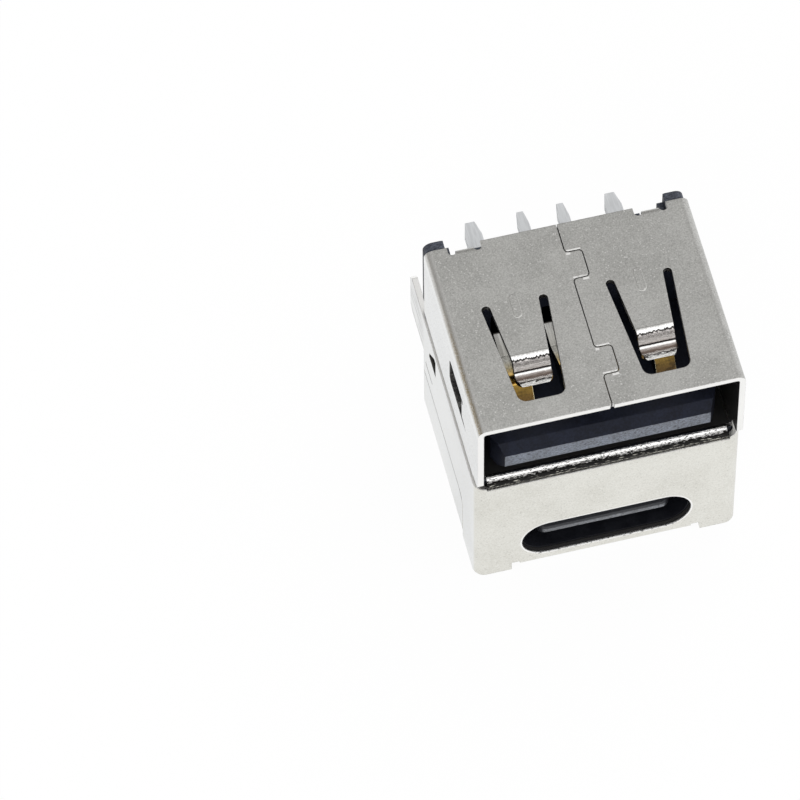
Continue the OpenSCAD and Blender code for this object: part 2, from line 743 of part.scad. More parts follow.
module housing() {
    pocket_half = comb_w / 2 + fit;
    tab_half = tab_w / 2 + fit;
    shield_half = divider_w / 2 + fit;
    shield_t = sheet / 2 + fit;
    color(dark_plastic)
        difference() {
            union() {
                tongue();
                along_y(y_block, y_web)
                    translate([0, z_floor + fit]) rounded(mouth_w - 2 * fit, mouth_h - 2 * fit, block_r);
                lower_block();
                both_sides() column();
            }
            for (i = [0:3])
                contact_room(i);
            web_openings();
            along_y(y_plate, y_comb + over)
                translate([0, oval_z]) stadium(can_w + 2 * fit, can_h + 2 * fit);
            along_y(y_comb - fit, over)
                span(-pocket_half, pocket_half, -over, z_web_low);
            along_y(y_plate, y_web + over)
                span(-shield_half, shield_half, divider_z - shield_t, divider_z + shield_t);
            both_sides() {
                translate([tab_x, 0, 0]) along_y(y_rear - notch_depth, over) {
                    span(-tab_half, tab_half, z_top - tab_length - fit, z_top);
                    span(0, tab_half + 2 * notch_r, z_top - tab_drop, z_top);
                }
                along_y(y_web - over, over)
                    span(column_low_out - leg_notch, column_low_out + over,
                        leg_notch_z - leg_notch, leg_notch_z + leg_notch);
                along_y(-foot_slot_d, over)
                    span(column_in + over, column_in + foot_slot_w,
                        block_bottom + foot_slot_h, block_bottom + 2 * foot_slot_h);
            }
        }
}

module divider_shield() {
    color(bright_nickel)
        along_z(divider_z - sheet / 2, divider_z + sheet / 2)
            span(-divider_w / 2, divider_w / 2, y_plate + fold_out + fit, y_rear);
}

// Upper contacts: a bow that rises from the tongue and falls back, shoulders in the web and a tapered tail
// The bow's rising part takes the length that the flat parts and the folds leave
module contact_profile() {
    room = y_block - bow_start - bow_tip - (y_tongue + contact_tip_back);
    fold_reach = bow_r * sin(bow_rise) + crest_r * (sin(bow_rise) + 2 * sin(bow_fall));
    fold_lift = bow_r * (1 - cos(bow_rise)) + crest_r * (2 * cos(bow_fall) - cos(bow_rise) - 1);
    up = (room - fold_reach - fold_lift / tan(bow_fall)) / (cos(bow_rise) + sin(bow_rise) / tan(bow_fall));
    down = (fold_lift + up * sin(bow_rise)) / sin(bow_fall);
    steps = [[over + bow_start, bow_r, -bow_rise], [up, crest_r, bow_rise + bow_fall],
        [down, crest_r, -bow_fall]];
    strip(walk([y_block + over, z_contact + contact_t / 2], 180, steps, bow_tip), contact_t);
}

module upper_contact(i) {
    x = contact_xs[i];
    w = tail_ws[i];
    color(gold) {
        along_x(x - contact_w / 2, x + contact_w / 2) contact_profile();
        along_z(z_contact, z_contact + contact_t) translate([x, 0]) {
            span(-contact_w / 2, contact_w / 2, y_block, y_rear);
            translate([0, y_rear - shoulder_d]) rounded(shoulder_w, shoulder_d + shoulder_out, shoulder_r);
            span(-w / 2, w / 2, y_rear - over, upper_reach - tip_length);
            taper(w, upper_reach - tip_length, w * tip_share, upper_reach);
        }
    }
}

// Lower socket: an oval can round a tongue with two rows of contacts
module lower_shell() {
    color(nickel)
        along_y(y_plate_in, y_comb - fit) translate([0, oval_z]) difference() {
            stadium(can_w, can_h);
            stadium(oval_w, oval_h);
        }
}

module mid_plate_blank() {
    along_z(oval_z - mid_t / 2, oval_z + mid_t / 2)
        span(-blade_w / 2, blade_w / 2, y_blade + mid_back, y_comb - fit);
}

module mid_plate() color(nickel) mid_plate_blank();

// A lower contact: a pad on the tongue, a fan to its tail column, a riser and a tail
module lower_blank(k, side) {
    pad_out = blade_t / 2 + pad_proud;
    level = oval_z + side * (pad_out - lower_t / 2);
    tail_level = oval_z + side * tail_rows / 2;
    x0 = pad_xs[k];
    x1 = tail_xs[k];
    w = low_tail_ws[k];
    along_z(level - lower_t / 2, level + lower_t / 2) {
        span(x0 - pad_w / 2, x0 + pad_w / 2, y_blade + pad_start, y_fan);
        polygon([[x0 - pad_w / 2, y_fan], [x0 + pad_w / 2, y_fan],
            [x1 + w / 2, y_riser], [x1 - w / 2, y_riser]]);
        span(x1 - w / 2, x1 + w / 2, y_riser, y_riser + tail_t);
    }
    along_y(y_riser, y_riser + tail_t)
        span(x1 - w / 2, x1 + w / 2, min(level, tail_level), max(level, tail_level));
    along_z(tail_level - tail_t / 2, tail_level + tail_t / 2)
        span(x1 - w / 2, x1 + w / 2, y_riser, lower_reach);
}

module all_lower_blanks() {
    for (k = upper_columns)
        lower_blank(k, 1);
    for (k = lower_columns)
        lower_blank(k, -1);
}

// The lower tongue's blade, rounded at its corners and chamfered along its front edges
module blade() {
    z0 = oval_z - blade_t / 2;
    z1 = oval_z + blade_t / 2;
    intersection() {
        along_z(z0, z1) {
            translate([0, y_blade]) rounded(blade_w, 4 * nose_r, nose_r);
            span(-blade_w / 2, blade_w / 2, y_blade + nose_r, y_base + over);
        }
        along_x(-blade_w, blade_w)
            polygon([[y_blade, z0 + nose_chamfer], [y_blade + 2 * nose_chamfer, z0], [y_base + 2 * over, z0],
                [y_base + 2 * over, z1], [y_blade + 2 * nose_chamfer, z1], [y_blade, z1 - nose_chamfer]]);
    }
}

module lower_tongue() {
    color(black_plastic)
        difference() {
            union() {
                blade();
                along_y(y_base - base_shoulder_d, y_base + over)
                    translate([0, oval_z]) stadium(blade_w + base_shoulder_t / 2, base_shoulder_t);
                along_y(y_base, y_comb - fit)
                    translate([0, oval_z]) stadium(oval_w - 2 * fit, oval_h - 2 * fit);
            }
            all_lower_blanks();
            mid_plate_blank();
        }
}

module tail_comb() {
    top = z_web_low - comb_below;
    comb_low = sheet + comb_foot;
    row_z = oval_z - tail_rows / 2 - tail_t / 2;
    color(dark_plastic)
        difference() {
            along_x(-comb_w / 2, comb_w / 2) {
                span(y_comb, -comb_back, sheet, top);
                span(y_comb, -comb_back + comb_step, comb_low, oval_z + tail_rows / 2);
                span(y_comb, -comb_back + 2 * comb_step, comb_low, oval_z - tail_rows / 4);
            }
            all_lower_blanks();
            for (k = [0:7])
                along_z(row_z, stack_h)
                    translate([tail_xs[k], 0])
                        span(-low_tail_ws[k] / 2 - comb_channel, low_tail_ws[k] / 2 + comb_channel,
                            -comb_back, over);
        }
}

module lower_contact(k, side) color(tin) lower_blank(k, side);

upper_shell();
lower_cover();
housing();
divider_shield();
lower_shell();
lower_tongue();
mid_plate();
tail_comb();
for (i = [0:3])
    upper_contact(i);
for (i = [0:6]) {
    lower_contact(upper_columns[i], 1);
    lower_contact(lower_columns[i], -1);
}
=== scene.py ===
import json
import math

import bpy
from mathutils import Matrix, Vector

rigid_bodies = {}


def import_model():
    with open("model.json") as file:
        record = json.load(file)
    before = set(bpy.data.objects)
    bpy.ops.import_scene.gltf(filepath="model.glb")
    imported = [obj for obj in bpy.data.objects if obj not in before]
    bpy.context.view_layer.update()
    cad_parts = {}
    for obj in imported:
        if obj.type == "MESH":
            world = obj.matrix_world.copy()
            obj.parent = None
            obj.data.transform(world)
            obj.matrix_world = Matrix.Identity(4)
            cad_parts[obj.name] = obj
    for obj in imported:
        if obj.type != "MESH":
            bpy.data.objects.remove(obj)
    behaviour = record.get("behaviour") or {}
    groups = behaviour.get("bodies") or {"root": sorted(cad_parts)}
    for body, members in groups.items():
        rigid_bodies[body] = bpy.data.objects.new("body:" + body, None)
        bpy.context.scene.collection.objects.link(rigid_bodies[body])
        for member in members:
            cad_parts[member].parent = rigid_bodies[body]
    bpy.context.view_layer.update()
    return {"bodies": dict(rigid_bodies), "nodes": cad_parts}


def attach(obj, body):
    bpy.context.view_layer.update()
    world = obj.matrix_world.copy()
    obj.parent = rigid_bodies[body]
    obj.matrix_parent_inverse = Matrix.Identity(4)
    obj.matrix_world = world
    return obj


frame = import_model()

bl_info = {
    "name": "Stacked socket finishes",
    "version": (1, 0, 0),
    "blender": (4, 5, 0),
    "location": "View3D > Sidebar > Socket",
    "description": "Sheet, moulding and contact finishes for a stacked two-mouth board socket",
    "category": "Object",
}

NODES = frame["nodes"]
BODY = next(iter(frame["bodies"]))
MM = 0.001

UPPER_CONTACTS = [name for name in NODES if name.startswith("upper_contact_")]
LOWER_CONTACTS = [name for name in NODES if name.startswith("lower_contact_")]

# Edges: rounded in the finish, and by modifiers on the contact strips
EDGE_SAMPLES = 6
EDGE_STEPS = 2
SHARP_EDGE = math.radians(34)
FLAT_FACE = math.radians(0.6)
SAME_CORNER = 0.0005 * MM

# The two ribs pressed up at the roots of the fingers. Each step of their sides has an inset, as a
# share of half the width, and a rise, as a share of the height.
TUBE_ROOF = 13.82 * MM
RIB_Y = -4.65 * MM
RIB_SUNK = 0.04 * MM
RIB_SIDES = 32
RIB_STEPS = ((0.45, 0.8), (0.2, 0.2))
RIB_MIDDLE = 1e-7
# Share of the painted highlight on the ribs' sloping sides
RIB_SIDE_SHINE = 0.45
RIB_FADE = 0.003 * MM

# Plate colours: white for painted highlights, pale and cream for painted light and highlights, brown for a
# painted reflection, grey for drawn streaks, and near black for painted shade
WHITE_HIGHLIGHT = (0.97, 0.965, 0.95)
PALE = (0.84, 0.85, 0.85)
CREAM = (0.7, 0.68, 0.6)
BROWN_REFLECTION = (0.4, 0.34, 0.24)
STREAK = (0.24, 0.24, 0.235)
SHADED = (0.035, 0.034, 0.034)
DEEP_SHADE = (0.012, 0.01, 0.009)
DARKEST_SHADE = (0.003, 0.0026, 0.0022)

# Tones of the fingers' bent plate, painted as bands of highlight and reflection
DULL = (0.54, 0.535, 0.52)
GREY = (0.66, 0.655, 0.64)
PINKISH = (0.72, 0.685, 0.665)
ROSE = (0.58, 0.54, 0.52)
PALE_ROSE = (0.72, 0.69, 0.67)
GREY_ROSE = (0.6, 0.57, 0.55)
TAWNY = (0.42, 0.37, 0.345)
BROWN = (0.17, 0.135, 0.115)

# A contact strip, from the painted highlight on the sides of its gold to its tin
PALE_GOLD = (0.95, 0.88, 0.62)
BRONZE = (0.42, 0.26, 0.09)
OLIVE = (0.3, 0.25, 0.14)
DRAB = (0.40, 0.39, 0.35)
DULL_TIN = (0.54, 0.535, 0.50)
CLEAR_TIN = (0.60, 0.60, 0.58)

# Roughness and gloss
TUBE_ROUGH, COVER_ROUGH, INNER_ROUGH, BENT_ROUGH = 0.34, 0.36, 0.3, 0.13
CAN_ROUGH, BODY_ROUGH, INSERT_ROUGH = 0.4, 0.5, 0.45
UPPER_CONTACT_ROUGH, LOWER_CONTACT_ROUGH, TIN_ROUGH = 0.14, 0.2, 0.3
# The last gloss is for moulded faces where light is painted
PLATE_GLOSS, MATT_GLOSS, LIT_GLOSS = 0.15, 0.22, 0.44

# Each spring finger, with tones from the start of its fold to its tip, at places in millimetres: painted
# highlights and painted dark reflections of its bends
FINGER_X = 3.06 * MM
FINGER_HALF = 1.08 * MM
FINGER_FOLD = 7.33 * MM
FINGER_JAG = 0.3 * MM
FINGER_TONES = (
    (0.0, DULL), (0.08, GREY), (0.14, WHITE_HIGHLIGHT), (0.23, WHITE_HIGHLIGHT), (0.26, DEEP_SHADE), (0.31, DEEP_SHADE),
    (0.36, PINKISH), (0.61, PINKISH), (0.63, DEEP_SHADE), (0.66, DEEP_SHADE), (0.68, WHITE_HIGHLIGHT), (0.73, WHITE_HIGHLIGHT),
    (0.78, ROSE), (0.88, TAWNY), (0.98, BROWN), (1.07, BROWN), (1.15, PALE_ROSE), (1.23, GREY_ROSE),
    (1.25, DEEP_SHADE), (1.28, DEEP_SHADE), (1.30, WHITE_HIGHLIGHT), (1.40, WHITE_HIGHLIGHT),
)

# The rolled lower lip, with tones from its top downward, at places in millimetres: a painted highlight
# above, a painted dark reflection below
LIP_TOP = 8.40 * MM
LIP_JAG = 0.9 * MM
LIP_TONES = ((-0.04, WHITE_HIGHLIGHT), (0.12, WHITE_HIGHLIGHT), (0.15, DARKEST_SHADE), (0.45, DARKEST_SHADE), (0.48, CREAM), (0.56, CREAM))

# The cross edges of the seam's keys, in millimetres: the place of each along the seam, then from
# where to where the painted highlights behind it and before it reach across the seam
KEY_EDGES = (
    (-2.30, 0.08, 0.78, 0.02, 0.24),
    (-3.85, 0.02, 0.70, 0.46, 0.76),
    (-7.85, 0.10, 0.74, 0.02, 0.22),
    (-9.40, 0.02, 0.72, 0.44, 0.76),
)
KEY_TOP = 13.7 * MM
KEY_BEHIND = (0.03 * MM, 0.115 * MM)
KEY_BEFORE = (-0.17 * MM, -0.04 * MM)

# The oval slot in the front plate
SLOT_HALF = 2.89 * MM
SLOT_ROUND = 1.36 * MM
SLOT_Z = 2.3 * MM
SLOT_RING = (0.1 * MM, 0.06 * MM)

# The contacts: where gold ends and matt tin begins, and where a strip seems to rise, and how steeply
UPPER_GILT, UPPER_MATT = -7.4 * MM, -2.0 * MM
LOWER_GILT, LOWER_MATT = -5.1 * MM, -3.0 * MM
UPPER_RISE = (-5.5 * MM, -4.0 * MM, 0.5)
GOLD_FADE, TIN_FADE, RISE_FADE = 0.2 * MM, 0.15 * MM, 0.1 * MM
# Painted shade over the contacts on the right, rising across this span of X
RIGHT_SHADE = (0.0, 2.0 * MM, 0.0, 0.3)

# Boxes that hold the places where a finish changes, from corner to corner; None leaves a side open
BOX_FADE = 0.02 * MM
HOLLOW = ((-6.27 * MM, -11.05 * MM, 8.2 * MM), (6.27 * MM, None, 13.3 * MM))
WALL_CUTS = ((None, -10.9 * MM, 8.6 * MM), (None, -1.2 * MM, 13.3 * MM))
FINGER_ENDS = ((None, -9.3 * MM, 12.5 * MM), (None, -FINGER_FOLD, 13.9 * MM))
LIP = ((-6.2 * MM, None, 7.7 * MM), (6.2 * MM, -10.28 * MM, 8.46 * MM))
LEFT_FOLD = ((None, None, 13.1 * MM), (-6.0 * MM, None, None))
LEFT_FOLD_OUTSIDE = ((None, None, 13.1 * MM), (-6.1 * MM, None, None))
RIB_FRONTS = ((None, None, TUBE_ROOF + 0.003 * MM), (None, -5.14 * MM, TUBE_ROOF + 0.052 * MM))
RIB_FLANKS = ((None, -5.5 * MM, TUBE_ROOF + 0.003 * MM), (None, -3.8 * MM, TUBE_ROOF + 0.04 * MM))
COVER_SEAMS = ((None, -9.5 * MM, 1.0 * MM), (None, -0.8 * MM, 7.9 * MM))
PLATE_TOP = ((None, None, 7.7 * MM), (None, None, None))
SLOT_BOX = ((-4.8 * MM, None, 0.6 * MM), (4.8 * MM, -10.5 * MM, 4.2 * MM))
COLUMN_TOPS = ((None, -2.6 * MM, 12.0 * MM), (None, None, None))

# Places along one axis between which a mark goes from nothing to full
INNER_WALL = (5.9 * MM, 6.0 * MM)
WALL_SHEET = (6.2 * MM, 6.24 * MM)
COVER_SHEET = (6.25 * MM, 6.28 * MM)
OUTER_WALL = (6.4 * MM, 6.5 * MM)
LEG_SHEET = (6.1 * MM, 6.2 * MM)
LEG_ROOT = (-0.9 * MM, -0.3 * MM)
TUBE_FLOOR = (9.2 * MM, 9.0 * MM)
TUBE_FRONT = (-11.0 * MM, -11.1 * MM)
PLATE_FRONT = (-10.72 * MM, -10.78 * MM)
TONGUE_FRONT = (-9.6 * MM, -9.9 * MM)
WEB_REAR = (-1.5 * MM, -1.0 * MM)
COMB_REAR = (-2.0 * MM, -1.5 * MM)
SLOT_FLOOR = (1.3 * MM, 1.0 * MM)
FINGER_SIDE = (FINGER_HALF, 0.99 * FINGER_HALF)
FINGER_DRAWN = (0.7 * MM, 0.86 * MM)
LIP_LOWER = (0.2 * MM, 0.3 * MM)

# The same, with the two values between which the mark goes
FINGER_JAGGED = (0.4 * MM, 0.56 * MM, 1.0, 0.1)
LIP_JAGGED = (0.08 * MM, 0.24 * MM, 1.0, 0.4)
# The painted brown reflection along the left fold: faint towards the rear, full towards the mouth
FOLD_REFLECTION_RUN = (-2.5 * MM, -7.5 * MM, 0.1, 1.0)
INSERT_FACE = (2.36 * MM, 2.26 * MM, 0.06, 1.0)

# How far a face is turned along an axis where a mark goes from nothing to full
UPRIGHT = (0.35, 0.1)
LEVEL = (0.985, 0.998)
UPWARD = (0.5, 0.8)
EDGE_UP = (0.4, 0.7)
COLUMN_UP = (0.2, 0.5)
SIDEWAYS = (0.9, 0.98)
# How far the gold's sides are turned where a highlight is painted on them
SIDE_HIGHLIGHT = (0.2, 0.4)
FOLDED = (-0.05, -0.35)
FOLD_LINE = (-0.42, -0.55)
FOLD_END = (-0.9, -0.8)
RIM_FORWARD = (-0.4, -0.7)
NOT_FORWARD = (-0.95, -0.8)
FORWARD = (-0.85, -0.95)
REARWARD = (0.6, 0.9)

# How strong a mark gets
HOLLOW_SHADE, CUT_SHADE, SEAM_SHADE = 0.9, 0.95, 0.85
FOLD_SHINE, RIM_SHINE = 0.3, 0.9
# How much light is painted on the rear faces of the web and comb and on the columns' tops
WEB_LIGHT, COMB_LIGHT, COLUMN_LIGHT = 0.85, 0.6, 0.34

# Noise: the size of its blobs, its detail and roughness, and how far it is squeezed along each axis
ACROSS = (0.25, 1.0, 1.0)
PLATE_GRAIN = (0.075 * MM, 2.0, 0.7)
PLATE_CLOUD = (2.6 * MM, 3.0, 0.6)
PLATE_SPECK = 0.055 * MM
CRACKLE = (0.13 * MM, 3.0, 0.7)
STREAKS = (0.07 * MM, 3.0, 0.65, ACROSS)
MOULD_GRAIN = (0.1 * MM, 3.0, 0.65)
MOULD_FLOW = (0.9 * MM, 4.0, 0.6)
MOULD_SCRATCH = (0.05 * MM, 3.0, 0.65, ACROSS)
PIT_SPACING, PIT_RADIUS = 0.55 * MM, 0.07 * MM
DRAWN_LINES = (0.1 * MM, 2.0, 0.5, (1.0, 0.1, 1.0))
WIPE_MARKS = (0.25 * MM, 2.0, 0.5, (0.3, 1.0, 1.0))
SHADE_PATCHES = (0.16 * MM, 3.0, 0.7)
FINGER_TEETH = (0.1 * MM, 3.0, 0.65, (1.0, 0.2, 0.2))
LIP_LINES = (0.055 * MM, 3.0, 0.7, (0.3, 1.0, 1.0))
LIP_GLINTS = (0.05 * MM, 2.0, 0.6, (0.14, 1.0, 1.0))
# Specks of the painted brown reflection on the left fold
FOLD_SPECKS = (0.07 * MM, 2.0, 0.7)
KEY_BREAKS = (0.16 * MM, 2.0, 0.6)
# Patches of the painted light on the side walls
WALL_LIGHT_PATCHES = (0.09 * MM, 2.0, 0.6)
RIM_BREAKS = (0.09 * MM, 2.0, 0.6, (0.5, 1.0, 1.0))
LEG_LINES = (0.14 * MM, 2.0, 0.6, (1.0, 0.06, 1.0))

# Depth of the relief
CLOUD_DEPTH, GRAIN_DEPTH = 0.006 * MM, 0.0016 * MM
CRACKLE_DEPTH, STREAK_DEPTH = 0.008 * MM, 0.01 * MM
FLOW_DEPTH, MOULD_DEPTH = 0.012 * MM, 0.008 * MM
DRAWN_DEPTH = 0.002 * MM

# The stage: the floor, the room and its light, and two lamps at the part's middle
FLOOR_WHITE = (0.97, 0.97, 0.97, 1.0)
FLOOR_GLOW = 0.95
LIGHT_LEAN = math.radians(9)
LIGHT_RIM, LIGHT_CORE = math.radians(47), math.radians(28)
LIGHT_STRENGTH = 1.25
LIGHT_WHITE = (1.0, 1.0, 1.0)
PALE_SIDE = (0.974, -0.227, 0.0)
ROOM_PALE = (0.94, 0.94, 0.94)
ROOM_LOW = (0.2, 0.178, 0.155)
ROOM_HIGH = (0.47, 0.465, 0.455)
ROOM_FRONT = (0.07, 0.062, 0.055)
PART_MIDDLE = (0.0, -4.0 * MM, 6.0 * MM)
LAMP_SIZE = 0.35
LAMPS = (("front_lamp", (-0.22, -0.42, 0.30), 0.9), ("back_lamp", (0.25, 0.38, 0.34), 0.5))
SENSOR_WIDTH = 36.0


# ---------------------------------------------------------------- node helpers


def new_finish(name):
    """A new material, and its node tree and shader."""
    finish = bpy.data.materials.new(name)
    finish.use_nodes = True
    tree = finish.node_tree
    return finish, tree, tree.nodes["Principled BSDF"]


def add(tree, kind, **values):
    """A node of one kind, with its settings."""
    made = tree.nodes.new(kind)
    for key, value in values.items():
        setattr(made, key, value)
    return made


def join(tree, source, target):
    """Links one socket to another."""
    tree.links.new(source, target)


def object_place(tree):
    """Places on the part itself, in metres."""
    return add(tree, "ShaderNodeTexCoord").outputs["Object"]


def noise(tree, place, size, detail, roughness, stretch=None):
    """Soft noise whose blobs are about this many metres across."""
    if stretch is not None:
        mapping = add(tree, "ShaderNodeMapping")
        mapping.inputs["Scale"].default_value = stretch
        join(tree, place, mapping.inputs["Vector"])
        place = mapping.outputs["Vector"]
    made = add(tree, "ShaderNodeTexNoise")
    made.inputs["Scale"].default_value = 1.0 / size
    made.inputs["Detail"].default_value = detail
    made.inputs["Roughness"].default_value = roughness
    join(tree, place, made.inputs["Vector"])
    return made.outputs["Fac"]


def cells(tree, place, size):
    """Cells of about this many metres across."""
    made = add(tree, "ShaderNodeTexVoronoi", feature="F1")
    made.inputs["Scale"].default_value = 1.0 / size
    join(tree, place, made.inputs["Vector"])
    return made


def spots(tree, place, spacing, radius):
    """One where small round spots lie, which are spread at this spacing, in metres."""
    share = radius / spacing
    return remap(tree, cells(tree, place, spacing).outputs["Distance"], share, 0.6 * share)


def grains(tree, place, size):
    """A random number for each grain of about this size, in metres."""
    made = add(tree, "ShaderNodeSeparateColor")
    join(tree, cells(tree, place, size).outputs["Color"], made.inputs["Color"])
    return made.outputs["Red"]


def remap(tree, value, low, high, to_low=0.0, to_high=1.0, smooth=True):
    """A value taken from one range to another, and held at its ends."""
    made = add(tree, "ShaderNodeMapRange", clamp=True)
    if smooth:
        made.interpolation_type = "SMOOTHSTEP"
    made.inputs["From Min"].default_value = low
    made.inputs["From Max"].default_value = high
    made.inputs["To Min"].default_value = to_low
    made.inputs["To Max"].default_value = to_high
    join(tree, value, made.inputs["Value"])
    return made.outputs["Result"]


def arithmetic(tree, operation, first, second=0.0):
    """Two values or numbers put together, or one value changed."""
    made = add(tree, "ShaderNodeMath", operation=operation)
    for socket, value in zip(made.inputs, (first, second)):
        if isinstance(value, (int, float)):
            socket.default_value = value
        else:
            join(tree, value, socket)
    return made.outputs["Value"]


def chain(tree, operation, values):
    """Several values put together one after the other."""
    made = values[0]
    for value in values[1:]:
        made = arithmetic(tree, operation, made, value)
    return made


def both(tree, *values):
    """The product of several masks."""
    return chain(tree, "MULTIPLY", values)


def either(tree, *values):
    """The greatest of several masks."""
    return chain(tree, "MAXIMUM", values)


def total(tree, *values):
    """The sum of several values."""
    return chain(tree, "ADD", values)


def unsigned(tree, value):
    """A value without its sign."""
    return arithmetic(tree, "ABSOLUTE", value)


def blend(tree, factor, first, second):
    """The first colour, going to the second with the factor."""
    made = add(tree, "ShaderNodeMix", data_type="RGBA", clamp_factor=True)
    join(tree, factor, made.inputs["Factor"])
    colour_sockets = [s for s in made.inputs if s.type == "RGBA"]
    for socket, value in zip(colour_sockets, (first, second)):
        if hasattr(value, "links"):
            join(tree, value, socket)
        else:
            socket.default_value = (*value[:3], 1.0)
    return [s for s in made.outputs if s.type == "RGBA"][0]


def shade(colour, share):
    """A colour made darker or lighter."""
    return [share * part for part in colour]


def toned(tree, along, tones):
    """A colour that follows a list of places, in millimetres, and the colour at each."""
    start, end = tones[0][0], tones[-1][0]
    made = add(tree, "ShaderNodeValToRGB")
    stops = made.color_ramp.elements
    while len(stops) < len(tones):
        stops.new(0.5)
    for stop, (at, colour) in zip(stops, tones):
        stop.position = (at - start) / (end - start)
        stop.color = (*colour, 1.0)
    join(tree, remap(tree, along, start * MM, end * MM, smooth=False), made.inputs["Fac"])
    return made.outputs["Color"]


def axis(tree, place, letter):
    """One coordinate of a place."""
    made = add(tree, "ShaderNodeSeparateXYZ")
    join(tree, place, made.inputs["Vector"])
    return made.outputs[letter]


def apart(tree, place, letter):
    """How far a place lies from the middle, on either side."""
    return unsigned(tree, axis(tree, place, letter))


def facing(tree, letter):
    """How far the surface faces along an axis of the part."""
    return axis(tree, add(tree, "ShaderNodeNewGeometry").outputs["True Normal"], letter)


def inside(tree, place, box, soft=BOX_FADE):
    """One inside a box between two corners, in metres, whose sides may be open."""
    steps = []
    for letter, start, end in zip("XYZ", *box):
        along = axis(tree, place, letter)
        for edge, side in ((start, soft), (end, -soft)):
            if edge is not None:
                steps.append(remap(tree, along, edge - side, edge + side))
    return both(tree, *steps)


def bumps(tree, shader, edge, layers, lean=None):
    """Edges rounded by a radius, layers of relief, and a lean to the rear.

    Each layer is a height value and its depth in metres, and a lean is a mask and a slope.
    """
    rounded = add(tree, "ShaderNodeBevel", samples=EDGE_SAMPLES)
    rounded.inputs["Radius"].default_value = edge
    below = rounded.outputs["Normal"]
    for height, depth in layers:
        made = add(tree, "ShaderNodeBump")
        made.inputs["Distance"].default_value = depth
        made.inputs["Strength"].default_value = 1.0
        join(tree, height, made.inputs["Height"])
        join(tree, below, made.inputs["Normal"])
        below = made.outputs["Normal"]
    if lean is not None:
        push = add(tree, "ShaderNodeCombineXYZ")
        join(tree, both(tree, *lean), push.inputs["Y"])
        pushed = add(tree, "ShaderNodeVectorMath", operation="ADD")
        join(tree, below, pushed.inputs[0])
        join(tree, push.outputs["Vector"], pushed.inputs[1])
        level = add(tree, "ShaderNodeVectorMath", operation="NORMALIZE")
        join(tree, pushed.outputs["Vector"], level.inputs[0])
        below = level.outputs["Vector"]
    join(tree, below, shader.inputs["Normal"])


# ---------------------------------------------------------------- finishes


def nickel(name, bright, dull, rough, edge, marks=(), worked=None):
    """Satin nickel plate over rolled sheet: fine grain, sparse specks, and marks of painted light and shade
    at its cut edges, bends and hollows.

    A mark that is nearly black is painted shade, which doesn't shine like metal.
    """
    finish, tree, shader = new_finish(name)
    place = object_place(tree)
    fine = noise(tree, place, *PLATE_GRAIN)
    cloud = noise(tree, place, *PLATE_CLOUD)
    grain = grains(tree, place, PLATE_SPECK)
    tint = total(
        tree, remap(tree, cloud, 0.35, 0.68, to_high=0.3), remap(tree, fine, 0.28, 0.72, to_high=0.7)
    )
    light_speck = both(
        tree, remap(tree, grain, 0.955, 0.98, to_high=0.45), remap(tree, cloud, 0.4, 0.6, to_low=0.3)
    )
    dark_speck = remap(tree, grain, 0.06, 0.03, to_high=0.25)
    colour = blend(tree, tint, bright, dull)
    colour = blend(tree, light_speck, colour, WHITE_HIGHLIGHT)
    colour = blend(tree, dark_speck, colour, shade(dull, 0.45))
    for mask, mark in marks:
        tone = mark(tree, place) if callable(mark) else mark
        colour = blend(tree, mask(tree, place), colour, tone)
    join(tree, colour, shader.inputs["Base Color"])
    lightness = add(tree, "ShaderNodeRGBToBW")
    join(tree, colour, lightness.inputs["Color"])
    join(tree, remap(tree, lightness.outputs["Val"], 0.03, 0.1), shader.inputs["Metallic"])
    shader.inputs["Specular IOR Level"].default_value = PLATE_GLOSS
    rub = remap(tree, cloud, 0.3, 0.72, rough - 0.03, rough + 0.04)
    relief = [(cloud, CLOUD_DEPTH), (fine, GRAIN_DEPTH)]
    if worked is not None:
        bent = worked(tree, place)
        rub = total(tree, rub, remap(tree, bent, 0.0, 1.0, to_high=BENT_ROUGH - rough))
        relief.append((both(tree, noise(tree, place, *CRACKLE), bent), CRACKLE_DEPTH))
        relief.append((both(tree, noise(tree, place, *STREAKS), bent), STREAK_DEPTH))
    join(tree, rub, shader.inputs["Roughness"])
    bumps(tree, shader, edge, relief)
    return finish


def moulding(name, dark, light, rough, edge, lit_colour=None, lit_faces=None, pits=0.3):
    """Moulded glass-filled plastic: matt grain, pale flow marks, small pits and painted light on some
    faces, with scratches.
    """
    finish, tree, shader = new_finish(name)
    place = object_place(tree)
    fine = noise(tree, place, *MOULD_GRAIN)
    flow = noise(tree, place, *MOULD_FLOW)
    tint = total(
        tree, remap(tree, flow, 0.35, 0.7, to_high=0.5), remap(tree, fine, 0.35, 0.7, to_high=0.5)
    )
    colour = blend(tree, tint, dark, light)
    gloss = shader.inputs["Specular IOR Level"]
    gloss.default_value = MATT_GLOSS
    if lit_faces is not None:
        # Faces where light is painted, in a paler colour with scratches
        wear_and_painted_light = lit_faces(tree, place)
        tone = total(
            tree, remap(tree, fine, 0.3, 0.7, to_high=0.6), remap(tree, flow, 0.3, 0.7, to_high=0.4)
        )
        scratch = remap(tree, noise(tree, place, *MOULD_SCRATCH), 0.53, 0.61, to_high=0.85)
        pale = blend(tree, tone, shade(lit_colour, 0.4), shade(lit_colour, 1.45))
        colour = blend(tree, wear_and_painted_light, colour, blend(tree, scratch, pale, dark))
        join(tree, remap(tree, wear_and_painted_light, 0.0, 1.0, MATT_GLOSS, LIT_GLOSS), gloss)
    pit = both(
        tree, spots(tree, place, PIT_SPACING, PIT_RADIUS), remap(tree, flow, 0.45, 0.55, to_high=pits)
    )
    join(tree, blend(tree, pit, colour, shade(dark, 0.3)), shader.inputs["Base Color"])
    join(tree, remap(tree, flow, 0.3, 0.7, rough - 0.08, rough + 0.1), shader.inputs["Roughness"])
    bumps(tree, shader, edge, [(flow, FLOW_DEPTH), (fine, MOULD_DEPTH)])
    return finish


